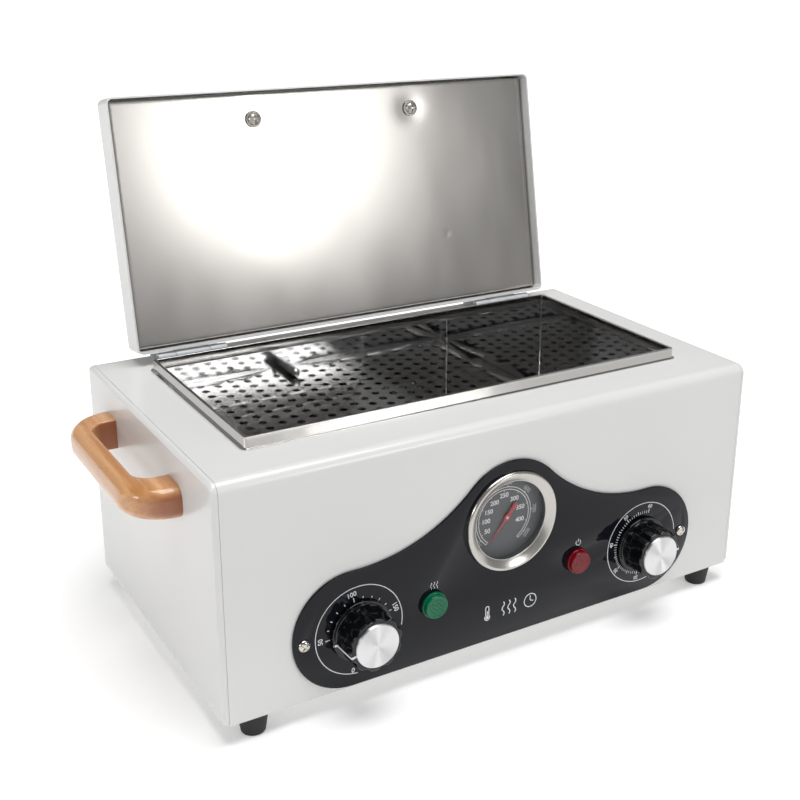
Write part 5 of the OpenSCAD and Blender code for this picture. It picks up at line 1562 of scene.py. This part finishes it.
@dataclass
class Knob:
    """One control knob: fluted grip, spun cap and white pointer."""

    shop: Workshop
    name: str
    body: Body
    rest: float
    line_mm: float = 1.35
    skirt_mm: float = 1.8
    grip_mm: float = 15.9
    tip_mm: float = 15.4
    seat_mm: float = 12.6
    play_mm: float = 0.1
    cup_mm: float = 1.2
    back_edge_mm: float = 0.3
    edge_mm: float = 0.5
    root_end: float = 158.755
    foot_mm: float = 0.6
    brow_mm: float = 0.8
    flute_mm: float = 5.0
    flute_deep_mm: float = 1.2
    flute_step: float = 36.0
    recess_mm: float = 0.5
    grip_rows: int = 8
    facets: int = 240
    cap_edge_mm: float = 0.4
    cap_rings: int = 12
    paint_mm: float = 0.05

    def grip(self, centre: Vector) -> BMesh:
        """Turns the knob's skirt and grip, and presses the flutes into the grip.

        Args:
            centre: A point on the shaft's line.

        Returns:
            The knob.
        """
        skirt, front, back = self.shop.disc_mm(self.name + "_knob")
        bore = self.shop.disc_mm(self.name + "_shaft")[0] + self.play_mm
        face, top, tip, edge = back - self.skirt_mm, self.grip_mm, self.tip_mm, self.edge_mm
        foot, brow = face - self.foot_mm, front + self.brow_mm
        points = [(0, front + self.cup_mm), (bore, front + self.cup_mm), (bore, back)]
        points += [(skirt - self.back_edge_mm, back), (skirt, back - self.back_edge_mm)]
        points += fillet((skirt - edge, face + edge), edge, 0, -90, 4)
        points += fillet((top + edge, face - edge), edge, 90, self.root_end, 3)
        parts = [k / self.grip_rows for k in range(self.grip_rows + 1)]
        points += [(top + (tip - top) * part, foot + (brow - foot) * part) for part in parts]
        points += fillet((tip - self.brow_mm, brow), self.brow_mm, 15, -90, 5)
        seat = front + self.recess_mm
        points += [(self.seat_mm, front), (self.seat_mm, seat), (0, seat)]
        bm = turned(points, centre, self.facets)
        for vert in (v for v in bm.verts if v.co.y < (face - self.foot_mm / 2) * MM):
            out = Vector((vert.co.x - centre.x, vert.co.z - centre.z)) / MM
            if out.length < self.seat_mm + self.play_mm:
                continue
            reach = out.length + self.flute_mm - self.flute_deep_mm
            turn = math.degrees(math.atan2(out.x, out.y)) - self.rest
            off = math.radians((turn % self.flute_step) - self.flute_step / 2)
            inside = self.flute_mm**2 - (reach * math.sin(off)) ** 2
            if inside > 0:
                limit = reach * math.cos(off) - math.sqrt(inside)
                scale = min(1.0, limit / out.length)
                vert.co.x = centre.x + (vert.co.x - centre.x) * scale
                vert.co.z = centre.z + (vert.co.z - centre.z) * scale
        return bm

    def cap(self, centre: Vector) -> BMesh:
        """Turns the cap and maps it: U runs round and V runs outwards.

        Args:
            centre: A point on the shaft's line.

        Returns:
            The cap.
        """
        radius, front, back = self.shop.disc_mm(self.name + "_knob_cap")
        edge, rings = self.cap_edge_mm, self.cap_rings
        points = [(radius, back), (radius, front + edge), (radius - edge, front)]
        points += [((radius - edge) * (1 - k / rings), front) for k in range(1, rings + 1)]
        bm = turned(points, centre)
        spin = bm.loops.layers.uv.new("spin")
        for face in bm.faces:
            middle = face.calc_center_median()
            base = math.atan2(middle.x - centre.x, middle.z - centre.z)
            for loop in face.loops:
                out = Vector((loop.vert.co.x - centre.x, loop.vert.co.z - centre.z))
                turn = base if out.length < WELD else math.atan2(out.x, out.y)
                turn += FULL_TURN * round((base - turn) / FULL_TURN)
                loop[spin].uv = (turn / FULL_TURN, out.length)
        return bm

    def pointer(self, centre: Vector) -> BMesh:
        """Lays the white line over skirt, grip and front edge, and turns it to its rest angle.

        Args:
            centre: A point on the shaft's line.

        Returns:
            The line of paint.
        """
        skirt, front, back = self.shop.disc_mm(self.name + "_knob")
        face = back - self.skirt_mm
        grip, tip = self.grip_mm, self.tip_mm
        places = [(skirt + 0.05, back - 1.2), (skirt - 0.5, face - 0.06), (grip + 0.6, face - 0.06)]
        places += [(grip + 0.12, face - 0.6), (tip + 0.1, front + 0.75), (tip - 0.1, front + 0.2)]
        places += [(tip - 0.6, front - 0.07), (self.seat_mm, front - 0.07)]
        bm = bmesh.new()
        verts = [bm.verts.new((-self.line_mm / 2 * MM, y * MM, r * MM)) for r, y in places]
        edges = [bm.edges.new(pair) for pair in zip(verts, verts[1:])]
        made = bmesh.ops.extrude_edge_only(bm, edges=edges)["geom"]
        bmesh.ops.translate(bm, verts=only(made, BMVert), vec=(self.line_mm * MM, 0, 0))
        bmesh.ops.recalc_face_normals(bm, faces=bm.faces)
        bmesh.ops.solidify(bm, geom=bm.faces[:], thickness=self.paint_mm * MM)
        place = Matrix.Translation((centre.x, 0, centre.z)) @ Matrix.Rotation(math.radians(self.rest), 4, "Y")
        return moved(bm, place)

    def build(self) -> None:
        """Dresses the knob."""
        shop, name, body = self.shop, self.name, self.body
        centre = shop.middle(name + "_shaft")
        cap = self.cap(centre)
        shop.piece(self.grip(centre), name + "_grip", KNOB_BLACK, body, "black_plastic", [name + "_knob"])
        shop.piece(cap, name + "_cap_disc", CAP_ALUMINIUM, body, "spun_aluminium", [name + "_knob_cap"])
        shop.piece(self.pointer(centre), name + "_pointer_paint", INK_WHITE, body, "black_plastic")
        shop.keep(ZINC, name + "_shaft")


@dataclass
class Inside:
    """What the casing hides: heater, insulation, controls and wiring."""

    shop: Workshop

    def build(self) -> None:
        """Dresses the inner pieces."""
        keep = self.shop.keep
        keep(HEATED_STEEL, "heater_element")
        keep(CERAMIC, "heater_bushes", "terminal_block")
        keep(ZINC, "heater_clips", "thermostat_body", "timer_body", "neck_nuts", "handle_screws")
        keep(WOOL, "insulation_jacket", "insulation_pad")
        keep(COPPER, "thermostat_capillary")
        keep(KNOB_BLACK, "cord_gland", "gland_nut")
        keep(BRASS, "earth_stud")
        keep(SLEEVE, "wiring")


@dataclass(frozen=True)
class Panel:
    """A soft-box.

    Attributes:
        name: Its name.
        place: Where it hangs, in metres.
        aim: The point that it faces.
        size: Its width and height.
        radiance: How bright its face is, one being the white of the picture.
        outline: Its outline.
    """

    name: str
    place: Place
    aim: Place
    size: Span
    radiance: float
    outline: Outline = Outline.SQUARE

    def hang(self) -> None:
        """Hangs the soft-box in the scene."""
        data = bpy.data.lights.new(self.name, "AREA")
        data.shape = self.outline.value
        data.size, data.size_y = self.size
        data.energy = self.radiance * self.size[0] * self.size[1] * math.pi
        made = placed(self.name, data)
        made.location = self.place
        made.rotation_mode = "QUATERNION"
        made.rotation_quaternion = (Vector(self.aim) - Vector(self.place)).to_track_quat("-Z", "Y")


@dataclass
class Studio:
    """Camera, floor, light and surroundings."""

    place_mm: Place = (-364.4, -612.4, 401.3)
    azimuth: float = -32.12
    elevation: float = 19.0
    roll: float = 0.8
    focal_px: float = 1235.3
    centre_px: Span = (448.3, 353.8)
    picture_px: float = 800.0
    sensor_mm: float = 36.0
    white: str = "#ffffff"
    paper: str = "#efefef"
    room_tint: str = "#f8f8f8"
    floor_m: float = 40.0
    near_m: float = -0.3
    far_m: float = 1.7
    near_glow: float = 0.2
    far_glow: float = 0.9
    wall_light: float = 0.32
    ceiling_light: float = 0.12
    wall_top: float = 25.0
    ceiling_from: float = 60.0
    panels: tuple[Panel, ...] = (
        Panel("key_softbox", (0.6, -1.37, 0.58), (-0.03, 0.09, 0.235), (0.44, 0.46), 4.7, Outline.ROUND),
        Panel("top_softbox", (0.1, -0.3, 2.4), (0, 0, 0), (1.8, 1.4), 6.5),
        Panel("left_softbox", (-1.7, -0.2, 0.6), (0, 0, 0.08), (0.32, 0.32), 12.0),
    )

    def camera(self) -> None:
        """Makes the camera that sees the object as the photograph does."""
        data = bpy.data.cameras.new("camera")
        data.sensor_width = self.sensor_mm
        data.sensor_fit = "HORIZONTAL"
        data.lens = self.focal_px * self.sensor_mm / self.picture_px
        data.shift_x = (self.picture_px / 2 - self.centre_px[0]) / self.picture_px
        data.shift_y = (self.centre_px[1] - self.picture_px / 2) / self.picture_px
        made = placed("camera", data)
        turn = Matrix.Rotation(math.radians(self.azimuth), 4, "Z")
        tilt = Matrix.Rotation(math.radians(90 - self.elevation), 4, "X")
        bank = Matrix.Rotation(math.radians(self.roll), 4, "Z")
        made.matrix_world = Matrix.Translation(Vector(self.place_mm) * MM) @ turn @ tilt @ bank
        bpy.context.scene.camera = made

    def floor(self) -> None:
        """Lays the pale floor, which glows towards its far parts as a lit white sweep does."""
        bm = bmesh.new()
        bmesh.ops.create_grid(bm, x_segments=8, y_segments=8, size=self.floor_m)
        mesh = meshed("floor", bm)
        paper = Finish("sweep_paper_matt", self.paper, 0.9).material()
        tree = paper.node_tree
        where = add_node(tree, "ShaderNodeTexCoord")
        depth = add_node(tree, "ShaderNodeSeparateXYZ", {"Vector": where.outputs["Object"]}).outputs["Y"]
        glow = spanned(tree, depth, (self.near_m, self.far_m), (self.near_glow, self.far_glow))
        lit = {"Emission Color": srgb(self.white), "Emission Strength": glow}
        feed(tree, tree.nodes["Principled BSDF"], lit)
        mesh.materials.append(paper)
        made = placed("floor", mesh)

    def room(self) -> None:
        """Surrounds the scene with pale walls under a darker ceiling."""
        world = bpy.data.worlds.new("room")
        world.use_nodes = True
        tree = world.node_tree
        where = add_node(tree, "ShaderNodeTexCoord")
        parts = add_node(tree, "ShaderNodeSeparateXYZ", {"Vector": where.outputs["Generated"]})
        heights = (math.sin(math.radians(self.wall_top)), math.sin(math.radians(self.ceiling_from)))
        light = spanned(tree, parts.outputs["Z"], heights, (self.wall_light, self.ceiling_light))
        feed(tree, tree.nodes["Background"], {"Color": srgb(self.room_tint), "Strength": light})
        bpy.context.scene.world = world

    def build(self) -> None:
        """Sets up the studio. The plain transform keeps its white white, as in the photograph."""
        bpy.context.scene.view_settings.view_transform = "Standard"
        self.camera()
        self.floor()
        self.room()
        for panel in self.panels:
            panel.hang()


def main() -> None:
    """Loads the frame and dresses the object."""
    logging.basicConfig(level=logging.INFO, format="%(message)s")
    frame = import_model()
    shop = Workshop(frame)
    angle = next(j for j in frame["joints"] if j["name"] == "lid_hinge")["range_deg"][1]
    lid_frame = LidFrame(shop.middle("hinge_pins"), math.radians(angle))
    for part in (
        Casing(shop),
        Chamber(shop),
        Lid(shop, lid_frame),
        BowHandles(shop, lid_frame),
        Fascia(shop),
        Thermometer(shop),
        PilotLamps(shop),
        Knob(shop, "thermostat", Body.THERMOSTAT, rest=-103.0),
        Knob(shop, "timer", Body.TIMER, rest=88.0),
        Inside(shop),
        Studio(),
    ):
        part.build()


if __name__ == "__main__":
    main()
